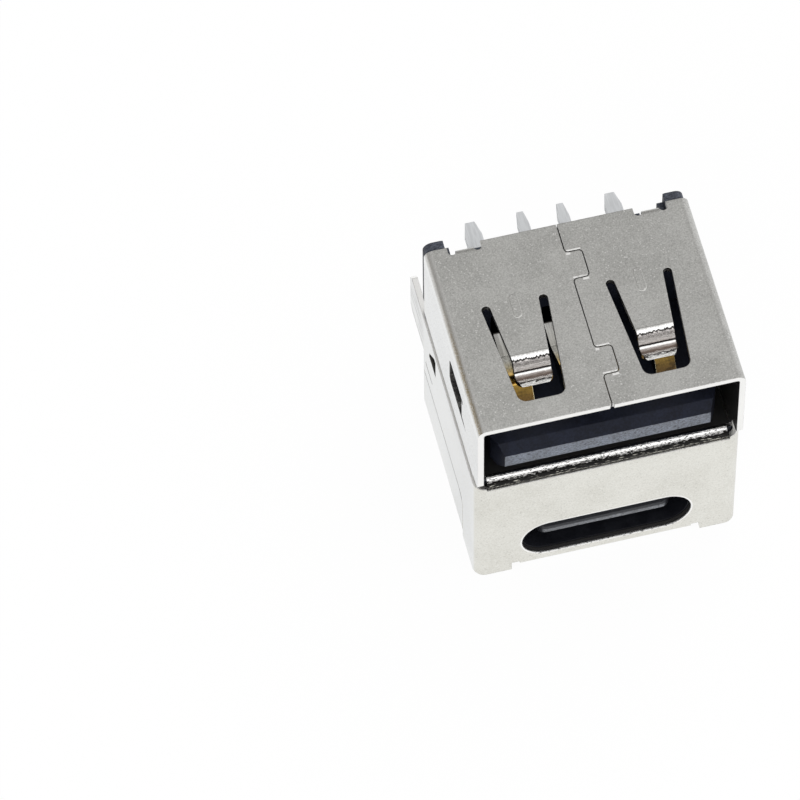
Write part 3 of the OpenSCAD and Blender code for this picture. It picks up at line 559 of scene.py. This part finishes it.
def contact_plate(name, tones, gilt, matt, edge, rough, rise=None):
    """Stamped contact strip, with a tone at each place along it.

    Before one place it has gold with wear marks, darker on the right with painted shade and with a painted
    highlight at its sides. Behind another it has matt tin. A rise is where the shading leans to the rear,
    and its slope.
    """
    finish, tree, shader = new_finish(name)
    place = object_place(tree)
    along = axis(tree, place, "Y")
    drawn = noise(tree, place, *DRAWN_LINES)
    wiped = remap(tree, noise(tree, place, *WIPE_MARKS), 0.42, 0.66, to_high=0.4)
    gilded = remap(tree, along, gilt, gilt - GOLD_FADE)
    dull = remap(tree, along, matt - TIN_FADE, matt + TIN_FADE)
    lines = remap(tree, drawn, 0.4, 0.65, to_high=0.12)
    # Painted shade over the contacts on the right
    right_shade = remap(tree, axis(tree, place, "X"), *RIGHT_SHADE)
    # Wear marks and drawn lines, with the painted shade on the right
    wear_and_painted_light = total(tree, lines, both(tree, wiped, gilded), both(tree, gilded, right_shade))
    # Painted highlight on the sides of the gold
    sheared = both(tree, gilded, remap(tree, unsigned(tree, facing(tree, "X")), *SIDE_HIGHLIGHT))
    colour = blend(tree, wear_and_painted_light, toned(tree, along, tones), SHADED)
    join(tree, blend(tree, sheared, colour, PALE_GOLD), shader.inputs["Base Color"])
    join(tree, remap(tree, dull, 0.0, 1.0, 1.0, 0.3), shader.inputs["Metallic"])
    rub = remap(tree, drawn, 0.3, 0.7, rough - 0.04, rough + 0.06)
    rub = total(tree, rub, remap(tree, dull, 0.0, 1.0, to_high=TIN_ROUGH))
    join(tree, rub, shader.inputs["Roughness"])
    lean = None
    if rise is not None:
        start, end, slope = rise
        lean = (inside(tree, place, ((None, start, None), (None, end, None)), RISE_FADE), slope)
    bumps(tree, shader, edge, [(drawn, DRAWN_DEPTH)], lean)
    return finish


# ---------------------------------------------------------------- where each finish changes


def tube_hollow_shade(tree, place):
    """Painted shade on the side walls and floor inside the tube, and on the upward cut edges in its side
    walls.
    """
    up, off = facing(tree, "Z"), apart(tree, place, "X")
    walls = both(tree, remap(tree, up, *UPRIGHT), remap(tree, off, *INNER_WALL))
    low = remap(tree, axis(tree, place, "Z"), *TUBE_FLOOR)
    floor = both(tree, low, remap(tree, up, *LEVEL))
    faces = both(tree, inside(tree, place, HOLLOW), either(tree, walls, floor), HOLLOW_SHADE)
    patchy = remap(tree, noise(tree, place, *SHADE_PATCHES), 0.36, 0.58, to_low=0.45)
    sheet = both(tree, inside(tree, place, WALL_CUTS), remap(tree, off, *WALL_SHEET))
    return either(tree, faces, both(tree, sheet, patchy, remap(tree, up, *UPWARD, to_high=CUT_SHADE)))


def ragged(tree, value, depth):
    """Noise about its middle, as a shift of up to this many metres."""
    return arithmetic(tree, "MULTIPLY", arithmetic(tree, "SUBTRACT", value, 0.5), depth)


def tube_fingers(tree, place):
    """The bent ends of the roof's two spring fingers."""
    off = unsigned(tree, arithmetic(tree, "SUBTRACT", apart(tree, place, "X"), FINGER_X))
    return both(tree, inside(tree, place, FINGER_ENDS), remap(tree, off, *FINGER_SIDE))


def finger_tone(tree, place):
    """The bright, black and brown bands painted across a finger as highlights and reflections; the one at
    the fold has a jagged edge.
    """
    along = arithmetic(tree, "SUBTRACT", -FINGER_FOLD, axis(tree, place, "Y"))
    teeth = ragged(tree, noise(tree, place, *FINGER_TEETH), FINGER_JAG)
    lines = ragged(tree, noise(tree, place, *STREAKS), FINGER_JAG)
    jag = both(tree, teeth, remap(tree, along, *FINGER_JAGGED))
    drawn = both(tree, lines, remap(tree, along, *FINGER_DRAWN))
    return toned(tree, total(tree, along, jag, drawn), FINGER_TONES)


def tube_lip(tree, place):
    """The rolled lip below the upper mouth."""
    return inside(tree, place, LIP)


def lip_tone(tree, place):
    """The lip's painted highlight on its upper half and painted dark reflection on its lower half, which
    run into each other in streaks, with painted glints low down.
    """
    down = arithmetic(tree, "SUBTRACT", LIP_TOP, axis(tree, place, "Z"))
    lines = ragged(tree, noise(tree, place, *LIP_LINES), LIP_JAG)
    shift = both(tree, lines, remap(tree, down, *LIP_JAGGED))
    glints = remap(tree, noise(tree, place, *LIP_GLINTS), 0.6, 0.68, to_high=0.8)
    glints = both(tree, glints, remap(tree, down, *LIP_LOWER))
    return blend(tree, glints, toned(tree, total(tree, down, shift), LIP_TONES), CREAM)


def tube_bends(tree, place):
    """The sharply bent stretches of the tube, where the plate is polished and crazed."""
    return either(tree, tube_fingers(tree, place), tube_lip(tree, place))


def tube_fold_reflection(tree, place):
    """A painted brown reflection along the long fold on the left, broken into specks, denser towards the
    mouth.
    """
    turned = facing(tree, "X")
    line = both(tree, remap(tree, turned, *FOLD_LINE), remap(tree, turned, *FOLD_END))
    specks = remap(tree, noise(tree, place, *FOLD_SPECKS), 0.4, 0.56, to_low=0.2)
    run = remap(tree, axis(tree, place, "Y"), *FOLD_REFLECTION_RUN)
    return both(tree, inside(tree, place, LEFT_FOLD_OUTSIDE), line, specks, run)


def tube_fold_highlight(tree, place):
    """The long fold on the left, with a painted highlight."""
    turned = remap(tree, facing(tree, "X"), *FOLDED, to_high=FOLD_SHINE)
    return both(tree, inside(tree, place, LEFT_FOLD), turned)


def key_highlights(tree, place):
    """Painted highlights beside the cross edges of the seam's keys."""
    marks = []
    for row in KEY_EDGES:
        edge, first, last, tip, toe = (value * MM for value in row)
        for (start, end), left, right in ((KEY_BEHIND, first, last), (KEY_BEFORE, tip, toe)):
            marks.append(inside(tree, place, ((left, edge + start, KEY_TOP), (right, edge + end, None))))
    broken = remap(tree, noise(tree, place, *KEY_BREAKS), 0.34, 0.44, to_low=0.3)
    return both(tree, either(tree, *marks), broken)


def rib_highlights(tree, place):
    """Painted highlights on the ribs: part strength on their sloping sides, full on their steep front ends.
    """
    sides = both(tree, inside(tree, place, RIB_FLANKS, RIB_FADE), RIB_SIDE_SHINE)
    return either(tree, inside(tree, place, RIB_FRONTS, RIB_FADE), sides)


def tube_rim_highlight(tree, place):
    """A painted highlight on the cut edge round the upper mouth."""
    front = remap(tree, axis(tree, place, "Y"), *TUBE_FRONT)
    return both(tree, front, remap(tree, facing(tree, "Y"), *RIM_FORWARD, to_high=RIM_SHINE))


def cover_seam_shade(tree, place):
    """Painted shade on the upward cut edges of the cover's side seams and catches."""
    sheet = remap(tree, apart(tree, place, "X"), *COVER_SHEET)
    turned = remap(tree, facing(tree, "Z"), *UPWARD, to_high=SEAM_SHADE)
    return both(tree, sheet, inside(tree, place, COVER_SEAMS), turned)


def lit_side_walls(tree, place):
    """Painted light on the outer faces of the side walls and legs, broken into patches."""
    outer = remap(tree, apart(tree, place, "X"), *OUTER_WALL)
    light_patches = remap(tree, noise(tree, place, *WALL_LIGHT_PATCHES), 0.3, 0.5, to_low=0.45)
    return both(tree, outer, light_patches, remap(tree, unsigned(tree, facing(tree, "X")), *SIDEWAYS))


def plate_edge_highlight(tree, place):
    """A painted highlight on the upper cut edges of the front plate and the side flanges."""
    return both(tree, inside(tree, place, PLATE_TOP), remap(tree, facing(tree, "Z"), *EDGE_UP))


def slot_cut_shade(tree, place):
    """Painted shade on the cut face of the oval slot in the front plate."""
    return both(tree, inside(tree, place, SLOT_BOX), remap(tree, facing(tree, "Y"), *NOT_FORWARD))


def slot_rim_highlight(tree, place):
    """A narrow ring round the oval slot on the front plate, painted as a highlight without grain."""
    end = either(tree, arithmetic(tree, "SUBTRACT", apart(tree, place, "X"), SLOT_HALF), 0.0)
    up = arithmetic(tree, "SUBTRACT", axis(tree, place, "Z"), SLOT_Z)
    off = arithmetic(tree, "POWER", total(tree, both(tree, end, end), both(tree, up, up)), 0.5)
    off = arithmetic(tree, "SUBTRACT", off, SLOT_ROUND)
    front = remap(tree, axis(tree, place, "Y"), *PLATE_FRONT)
    return both(tree, front, remap(tree, off, *SLOT_RING))


def rim_tone(tree, place):
    """A painted white highlight, with dark breaks along the lower side of the slot."""
    broken = remap(tree, noise(tree, place, *RIM_BREAKS), 0.57, 0.63, to_high=0.8)
    low = remap(tree, axis(tree, place, "Z"), *SLOT_FLOOR)
    return blend(tree, both(tree, broken, low), WHITE_HIGHLIGHT, SHADED)


def leg_streaks(tree, place):
    """Drawn streaks on the two legs."""
    rear = remap(tree, axis(tree, place, "Y"), *LEG_ROOT)
    sheet = remap(tree, apart(tree, place, "X"), *LEG_SHEET)
    return both(tree, rear, sheet, remap(tree, noise(tree, place, *LEG_LINES), 0.42, 0.66, to_high=0.45))


def tongue_front(tree, place):
    """The front face of a tongue."""
    front = remap(tree, axis(tree, place, "Y"), *TONGUE_FRONT)
    return both(tree, remap(tree, facing(tree, "Y"), *FORWARD), front)


def rear_faces(tree, place, rear, painted_light):
    """Faces to the rear, behind a place, and how much light is painted on them."""
    turned = remap(tree, facing(tree, "Y"), *REARWARD, to_high=painted_light)
    return both(tree, turned, remap(tree, axis(tree, place, "Y"), *rear))


def body_lit_faces(tree, place):
    """Painted light on the tongue's front face and the rear faces of the web and columns, and less on the
    columns' tops.
    """
    tops = remap(tree, facing(tree, "Z"), *COLUMN_UP, to_high=COLUMN_LIGHT)
    tops = both(tree, inside(tree, place, COLUMN_TOPS), tops)
    return either(tree, tongue_front(tree, place), rear_faces(tree, place, WEB_REAR, WEB_LIGHT), tops)


def insert_lit_faces(tree, place):
    """Painted light on the lower part of the lower tongue's front face, and on the comb's rear faces."""
    low = remap(tree, axis(tree, place, "Z"), *INSERT_FACE)
    front = both(tree, tongue_front(tree, place), low)
    return either(tree, front, rear_faces(tree, place, COMB_REAR, COMB_LIGHT))


# ---------------------------------------------------------------- pieces


def dress(name, finish):
    """Puts a finish on a piece."""
    piece = NODES.get(name)
    if piece is None:
        raise RuntimeError("the part has no piece named " + name)
    piece.data.materials.clear()
    piece.data.materials.append(finish)
    return piece


def soften(piece, width):
    """Rounds the sheared edges of a contact strip."""
    weld = piece.modifiers.new("Joined faces", "WELD")
    weld.merge_threshold = SAME_CORNER
    flat = piece.modifiers.new("Whole faces", "DECIMATE")
    flat.decimate_type = "DISSOLVE"
    flat.angle_limit = FLAT_FACE
    edge = piece.modifiers.new("Edge radius", "BEVEL")
    edge.width = width
    edge.segments = EDGE_STEPS
    edge.limit_method = "ANGLE"
    edge.angle_limit = SHARP_EDGE
    edge.use_clamp_overlap = True
    edge.miter_outer = "MITER_ARC"


def pick(mesh, wanted):
    """Selects the corners of a mesh in edit mode that a test accepts, and nothing else."""
    bpy.ops.mesh.select_mode(type="VERT")
    bpy.ops.mesh.select_all(action="DESELECT")
    bpy.ops.object.mode_set(mode="OBJECT")
    for corner in mesh.vertices:
        corner.select = wanted(corner.co)
    bpy.ops.object.mode_set(mode="EDIT")


def make_rib(name, x, shape):
    """A low pressed rib with sloping sides on the roof of the tube."""
    half = shape.rib_width / 2.0
    bpy.ops.object.select_all(action="DESELECT")
    bpy.ops.mesh.primitive_cylinder_add(vertices=RIB_SIDES, radius=half, depth=RIB_SUNK)
    rib = bpy.context.object
    rib.name = name
    bpy.ops.object.mode_set(mode="EDIT")
    for side in (1.0, -1.0):
        pick(rib.data, lambda corner: side * corner.y > RIB_MIDDLE)
        bpy.ops.transform.translate(value=(0.0, side * (shape.rib_length / 2.0 - half), 0.0))
    pick(rib.data, lambda corner: corner.z > 0.0)
    bpy.ops.mesh.select_mode(type="FACE")
    for inward, upward in RIB_STEPS:
        bpy.ops.mesh.inset(thickness=inward * half)
        bpy.ops.transform.translate(value=(0.0, 0.0, upward * shape.rib_height))
    bpy.ops.object.mode_set(mode="OBJECT")
    rib.location = (x, RIB_Y, TUBE_ROOF - RIB_SUNK / 2.0)
    bpy.ops.object.transform_apply(location=True, rotation=True, scale=True)
    bpy.ops.object.shade_smooth_by_angle(angle=SHARP_EDGE)
    return rib


# ---------------------------------------------------------------- settings


def colour_setting(name, description, default):
    """A colour that a user may change."""
    return bpy.props.FloatVectorProperty(
        name=name, description=description, default=default, size=3, min=0.0, max=1.0, subtype="COLOR"
    )


def length_setting(name, description, default):
    """A length in metres that a user may change."""
    return bpy.props.FloatProperty(
        name=name, description=description, default=default, min=0.0, precision=5,
        subtype="DISTANCE", unit="LENGTH"
    )


def angle_setting(name, description, degrees):
    """An angle that a user may change."""
    return bpy.props.FloatProperty(
        name=name, description=description, default=math.radians(degrees), subtype="ANGLE"
    )


class SocketFinishes(bpy.types.PropertyGroup):
    """Colours of the plated sheets, the mouldings and the contacts"""

    nickel_bright: colour_setting("Nickel", "Clean nickel plate of the tube", (0.62, 0.618, 0.598))
    nickel_dull: colour_setting("Dull nickel", "Dull patches in the tube's plate", (0.375, 0.373, 0.358))
    cover_bright: colour_setting("Cover nickel", "Clean plate of the lower cover", (0.83, 0.825, 0.775))
    cover_dull: colour_setting("Dull cover", "Dull patches in the lower cover's plate", (0.68, 0.67, 0.615))
    inner_bright: colour_setting("Inner nickel", "Plate of the inner sheets", (0.80, 0.80, 0.79))
    inner_dull: colour_setting("Dull inner", "Dull patches on the inner sheets", (0.66, 0.655, 0.63))
    # The can is coloured near black as painted shade, where the real can is plated metal
    can_bright: colour_setting("Can", "Dark plate of the oval can", (0.014, 0.015, 0.02))
    can_dull: colour_setting("Dull can", "Dull patches on the oval can", (0.007, 0.0075, 0.01))
    body_dark: colour_setting("Moulding", "Dark plastic of the body", (0.008, 0.0095, 0.016))
    body_light: colour_setting("Moulding grain", "Pale grain in the body", (0.017, 0.021, 0.038))
    # Painted light on the body's front, rear and top faces, with scratches
    body_lit: colour_setting("Scuffed moulding", "Scuffed faces of the body", (0.175, 0.195, 0.235))
    insert_dark: colour_setting("Insert", "Dark plastic of the lower tongue", (0.012, 0.013, 0.016))
    insert_light: colour_setting("Insert grain", "Pale grain in the lower tongue", (0.03, 0.032, 0.038))
    # Painted light on the lower tongue's front and the comb's rear faces, with scratches
    insert_lit: colour_setting("Scuffed insert", "Scuffed faces of the lower tongue", (0.2, 0.21, 0.23))
    gold: colour_setting("Gold", "Plating at the contacts' mouth end", (0.78, 0.5, 0.12))
    tin: colour_setting("Tin", "Plating of the contact tails", (0.70, 0.715, 0.73))


class SocketEdges(bpy.types.PropertyGroup):
    """Edge radii, and the size of the ribs in the roof"""

    tube: length_setting("Tube edge", "Radius of the tube's and the inner sheets' edges", 0.05 * MM)
    cover: length_setting("Cover edge", "Radius of the sheared edges of the lower cover", 0.08 * MM)
    moulding: length_setting("Moulded edge", "Radius of the moulded edges", 0.05 * MM)
    contact: length_setting("Contact edge", "Radius of the stamped contact edges", 0.025 * MM)
    rib_width: length_setting("Rib width", "Width of each rib in the roof", 0.46 * MM)
    rib_length: length_setting("Rib length", "Length of each rib in the roof", 1.36 * MM)
    rib_height: length_setting("Rib height", "Height of each rib above the roof", 0.05 * MM)


class SocketStage(bpy.types.PropertyGroup):
    """Floor and camera"""

    floor_half: length_setting("Floor", "Half width of the floor", 2.5)
    distance: length_setting("Camera distance", "From the aim point to the lens", 337.1 * MM)
    height: angle_setting("Camera height", "Angle above the floor", 58.23)
    turn: angle_setting("Camera turn", "Angle round the part", -13.12)
    roll: angle_setting("Camera roll", "Tilt of the camera", -0.95)
    aim: bpy.props.FloatVectorProperty(
        name="Aim", description="Aim point on the floor, as the camera sees it", size=3, precision=5,
        subtype="TRANSLATION", unit="LENGTH", default=(-7.481 * MM, -1.827 * MM, 0.0)
    )
    lens: bpy.props.FloatProperty(
        name="Lens", description="Focal length in millimetres", default=305.955, min=1.0
    )


# ---------------------------------------------------------------- operators


class SOCKET_OT_tube(bpy.types.Operator):
    """Finishes the folded tube of the upper mouth"""

    bl_idname = "socket.tube"
    bl_label = "Upper tube"

    def execute(self, context):
        look, edges = context.scene.socket_finishes, context.scene.socket_edges
        marks = (
            (lit_side_walls, PALE),
            (tube_fold_highlight, WHITE_HIGHLIGHT),
            (tube_fold_reflection, BROWN_REFLECTION),
            (key_highlights, WHITE_HIGHLIGHT),
            (rib_highlights, WHITE_HIGHLIGHT),
            (tube_rim_highlight, WHITE_HIGHLIGHT),
            (tube_fingers, finger_tone),
            (tube_lip, lip_tone),
            (tube_hollow_shade, SHADED),
        )
        finish = nickel(
            "nickel_tube", look.nickel_bright, look.nickel_dull, TUBE_ROUGH, edges.tube, marks, tube_bends
        )
        dress("upper_shell", finish)
        return {"FINISHED"}


class SOCKET_OT_ribs(bpy.types.Operator):
    """Presses up the two ribs at the roots of the fingers"""

    bl_idname = "socket.ribs"
    bl_label = "Roof ribs"

    def execute(self, context):
        shape = context.scene.socket_edges
        for name, x in (("left_rib", -FINGER_X), ("right_rib", FINGER_X)):
            rib = make_rib(name, x, shape)
            rib.data.materials.append(bpy.data.materials["nickel_tube"])
            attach(rib, BODY)
        return {"FINISHED"}


class SOCKET_OT_cover(bpy.types.Operator):
    """Finishes the folded cover of the lower mouth"""

    bl_idname = "socket.cover"
    bl_label = "Lower cover"

    def execute(self, context):
        look, edges = context.scene.socket_finishes, context.scene.socket_edges
        marks = (
            (lit_side_walls, PALE),
            (leg_streaks, STREAK),
            (slot_cut_shade, SHADED),
            (slot_rim_highlight, rim_tone),
            (cover_seam_shade, SHADED),
            (plate_edge_highlight, WHITE_HIGHLIGHT),
        )
        finish = nickel(
            "nickel_cover", look.cover_bright, look.cover_dull, COVER_ROUGH, edges.cover, marks
        )
        dress("lower_cover", finish)
        return {"FINISHED"}


class SOCKET_OT_inner(bpy.types.Operator):
    """Finishes the inner sheets: the divider, the oval can, coloured near black as painted shade, and the
    tongue's plate
    """

    bl_idname = "socket.inner"
    bl_label = "Inner sheets"

    def execute(self, context):
        look, edges = context.scene.socket_finishes, context.scene.socket_edges
        finish = nickel("nickel_inner", look.inner_bright, look.inner_dull, INNER_ROUGH, edges.tube)
        for name in ("divider_shield", "mid_plate"):
            dress(name, finish)
        # Painted shade: the plated can is coloured near black
        can = moulding("shaded_can", look.can_dull, look.can_bright, CAN_ROUGH, edges.tube, pits=0.0)
        dress("lower_shell", can)
        return {"FINISHED"}


class SOCKET_OT_housing(bpy.types.Operator):
    """Finishes the moulded body with its upper tongue"""

    bl_idname = "socket.housing"
    bl_label = "Body moulding"

    def execute(self, context):
        look, edges = context.scene.socket_finishes, context.scene.socket_edges
        finish = moulding(
            "body_moulding", look.body_dark, look.body_light, BODY_ROUGH, edges.moulding,
            look.body_lit, body_lit_faces
        )
        dress("housing", finish)
        return {"FINISHED"}


class SOCKET_OT_insert(bpy.types.Operator):
    """Finishes the lower tongue and the comb that spaces its tails"""

    bl_idname = "socket.insert"
    bl_label = "Lower tongue and comb"

    def execute(self, context):
        look, edges = context.scene.socket_finishes, context.scene.socket_edges
        finish = moulding(
            "insert_moulding", look.insert_dark, look.insert_light, INSERT_ROUGH, edges.moulding,
            look.insert_lit, insert_lit_faces
        )
        for name in ("lower_tongue", "tail_comb"):
            dress(name, finish)
        return {"FINISHED"}


class SOCKET_OT_upper_contacts(bpy.types.Operator):
    """Finishes the four upper contacts, gold at the mouth and tin at the tails"""

    bl_idname = "socket.upper_contacts"
    bl_label = "Upper contacts"

    def execute(self, context):
        look, edges = context.scene.socket_finishes, context.scene.socket_edges
        # From -4.04 to -2.1 mm the strip is painted near black as shade near the moulding
        tones = (
            (-8.6, BRONZE), (-8.12, BRONZE), (-7.82, look.gold), (-7.2, look.gold), (-6.5, OLIVE),
            (-5.8, DRAB), (-5.0, DULL_TIN), (-4.12, CLEAR_TIN), (-4.04, DEEP_SHADE), (-3.6, DEEP_SHADE),
            (-2.9, SHADED), (-2.1, DEEP_SHADE), (-1.9, look.tin), (0.0, look.tin),
        )
        finish = contact_plate(
            "upper_contact_plate", tones, UPPER_GILT, UPPER_MATT, edges.contact, UPPER_CONTACT_ROUGH,
            UPPER_RISE
        )
        for name in UPPER_CONTACTS:
            soften(dress(name, finish), edges.contact)
        return {"FINISHED"}


class SOCKET_OT_lower_contacts(bpy.types.Operator):
    """Finishes the two rows of lower contacts, gold on the tongue and tin at the tails"""

    bl_idname = "socket.lower_contacts"
    bl_label = "Lower contacts"

    def execute(self, context):
        look, edges = context.scene.socket_finishes, context.scene.socket_edges
        tones = ((-6.0, look.gold), (-5.1, look.gold), (-4.3, look.tin), (0.0, look.tin))
        finish = contact_plate(
            "lower_contact_plate", tones, LOWER_GILT, LOWER_MATT, edges.contact, LOWER_CONTACT_ROUGH
        )
        for name in LOWER_CONTACTS:
            soften(dress(name, finish), edges.contact)
        return {"FINISHED"}


def make_floor(half):
    """A plain white floor that fades into the background and keeps a soft shadow."""
    bpy.ops.object.select_all(action="DESELECT")
    bpy.ops.mesh.primitive_plane_add(size=2.0 * half)
    floor = bpy.context.object
    floor.name = "floor"
    finish = bpy.data.materials.new("white_floor")
    finish.use_nodes = True
    tree = finish.node_tree
    tree.nodes.clear()
    path = add(tree, "ShaderNodeLightPath")
    rays = ("Is Camera Ray", "Is Glossy Ray", "Is Transmission Ray")
    seen = either(tree, *(path.outputs[ray] for ray in rays))
    matt = add(tree, "ShaderNodeBsdfDiffuse")
    matt.inputs["Color"].default_value = FLOOR_WHITE
    glow = add(tree, "ShaderNodeEmission")
    mix = add(tree, "ShaderNodeMixShader")
    join(tree, both(tree, seen, FLOOR_GLOW), mix.inputs["Fac"])
    join(tree, matt.outputs["BSDF"], mix.inputs[1])
    join(tree, glow.outputs["Emission"], mix.inputs[2])
    output = add(tree, "ShaderNodeOutputMaterial")
    join(tree, mix.outputs["Shader"], output.inputs["Surface"])
    floor.data.materials.append(finish)


def make_sky(scene):
    """One broad soft light overhead, in a room.

    The room is pale on one side and low down, grey on the others and dark in front.
    """
    world = bpy.data.worlds.new("studio")
    scene.world = world
    world.use_nodes = True
    tree = world.node_tree
    tree.nodes.clear()
    way = add(tree, "ShaderNodeTexCoord").outputs["Generated"]

    def toward(aim):
        """How far a way points along another."""
        made = add(tree, "ShaderNodeVectorMath", operation="DOT_PRODUCT")
        made.inputs[1].default_value = aim
        join(tree, way, made.inputs[0])
        return made.outputs["Value"]

    above = toward((0.0, -math.sin(LIGHT_LEAN), math.cos(LIGHT_LEAN)))
    light = remap(tree, above, math.cos(LIGHT_RIM), math.cos(LIGHT_CORE))
    side = remap(tree, toward(PALE_SIDE), 0.2, 0.6)
    low = remap(tree, axis(tree, way, "Z"), 0.18, 0.05)
    front = remap(tree, axis(tree, way, "Y"), -0.1, -0.5)
    high = remap(tree, axis(tree, way, "Z"), 0.16, 0.34)
    wall = blend(tree, high, ROOM_LOW, ROOM_HIGH)
    wall = blend(tree, front, wall, ROOM_FRONT)
    room = blend(tree, either(tree, side, low), wall, ROOM_PALE)
    back = add(tree, "ShaderNodeBackground")
    join(tree, blend(tree, light, room, LIGHT_WHITE), back.inputs["Color"])
    join(tree, remap(tree, light, 0.0, 1.0, 1.0, LIGHT_STRENGTH), back.inputs["Strength"])
    output = add(tree, "ShaderNodeOutputWorld")
    join(tree, back.outputs["Background"], output.inputs["Surface"])


def make_lamp(name, place, power):
    """A square soft lamp that looks at the part's middle."""
    bpy.ops.object.select_all(action="DESELECT")
    bpy.ops.object.light_add(type="AREA", location=place)
    lamp = bpy.context.object
    lamp.name = name
    lamp.data.size = LAMP_SIZE
    lamp.data.energy = power
    lamp.visible_glossy = False
    lamp.rotation_euler = (Vector(PART_MIDDLE) - Vector(place)).to_track_quat("-Z", "Y").to_euler()


def make_camera(scene, stage):
    """The camera, at the angle from which the part is shown."""
    outward = Vector((0.0, -math.cos(stage.height), math.sin(stage.height)))
    level = Vector((1.0, 0.0, 0.0))
    upward = outward.cross(level)
    across = math.cos(stage.roll) * level + math.sin(stage.roll) * upward
    upright = math.cos(stage.roll) * upward - math.sin(stage.roll) * level
    turned = Matrix.Rotation(stage.turn, 3, "Z")
    bpy.ops.object.select_all(action="DESELECT")
    bpy.ops.object.camera_add()
    camera = bpy.context.object
    camera.name = "front_camera"
    camera.data.sensor_width = SENSOR_WIDTH
    camera.data.lens = stage.lens
    stand = Matrix((turned @ across, turned @ upright, turned @ outward)).transposed().to_4x4()
    stand.translation = turned @ (stage.distance * outward + Vector(stage.aim))
    camera.matrix_world = stand
    scene.camera = camera


class SOCKET_OT_stage(bpy.types.Operator):
    """Makes the floor, the light and the camera"""

    bl_idname = "socket.stage"
    bl_label = "Stage"

    def execute(self, context):
        scene = context.scene
        make_floor(scene.socket_stage.floor_half)
        make_sky(scene)
        for name, place, power in LAMPS:
            make_lamp(name, place, power)
        make_camera(scene, scene.socket_stage)
        scene.view_settings.view_transform = "Standard"
        return {"FINISHED"}


class SOCKET_PT_finishes(bpy.types.Panel):
    """Lists the finishes and their settings"""

    bl_idname = "SOCKET_PT_finishes"
    bl_label = "Stacked socket"
    bl_space_type = "VIEW_3D"
    bl_region_type = "UI"
    bl_category = "Socket"

    def draw(self, context):
        layout = self.layout
        for key, kind in GROUPS.items():
            column = layout.column()
            for setting in kind.__annotations__:
                column.prop(getattr(context.scene, key), setting)
        for step in STEPS:
            layout.operator(step.bl_idname)


GROUPS = {"socket_finishes": SocketFinishes, "socket_edges": SocketEdges, "socket_stage": SocketStage}
STEPS = (
    SOCKET_OT_tube,
    SOCKET_OT_ribs,
    SOCKET_OT_cover,
    SOCKET_OT_inner,
    SOCKET_OT_housing,
    SOCKET_OT_insert,
    SOCKET_OT_upper_contacts,
    SOCKET_OT_lower_contacts,
    SOCKET_OT_stage,
)


def register():
    """Makes the settings, the operators and the panel known to Blender."""
    for made in (*GROUPS.values(), *STEPS, SOCKET_PT_finishes):
        bpy.utils.register_class(made)
    for key, group in GROUPS.items():
        setattr(bpy.types.Scene, key, bpy.props.PointerProperty(type=group))


def unregister():
    """Takes them away again."""
    for key in GROUPS:
        delattr(bpy.types.Scene, key)
    for made in (SOCKET_PT_finishes, *reversed(STEPS), *reversed(list(GROUPS.values()))):
        bpy.utils.unregister_class(made)


def main():
    """Runs every step in order."""
    register()
    bpy.ops.object.select_all(action="DESELECT")
    for step in STEPS:
        family, verb = step.bl_idname.split(".")
        getattr(getattr(bpy.ops, family), verb)()


if __name__ == "__main__":
    main()
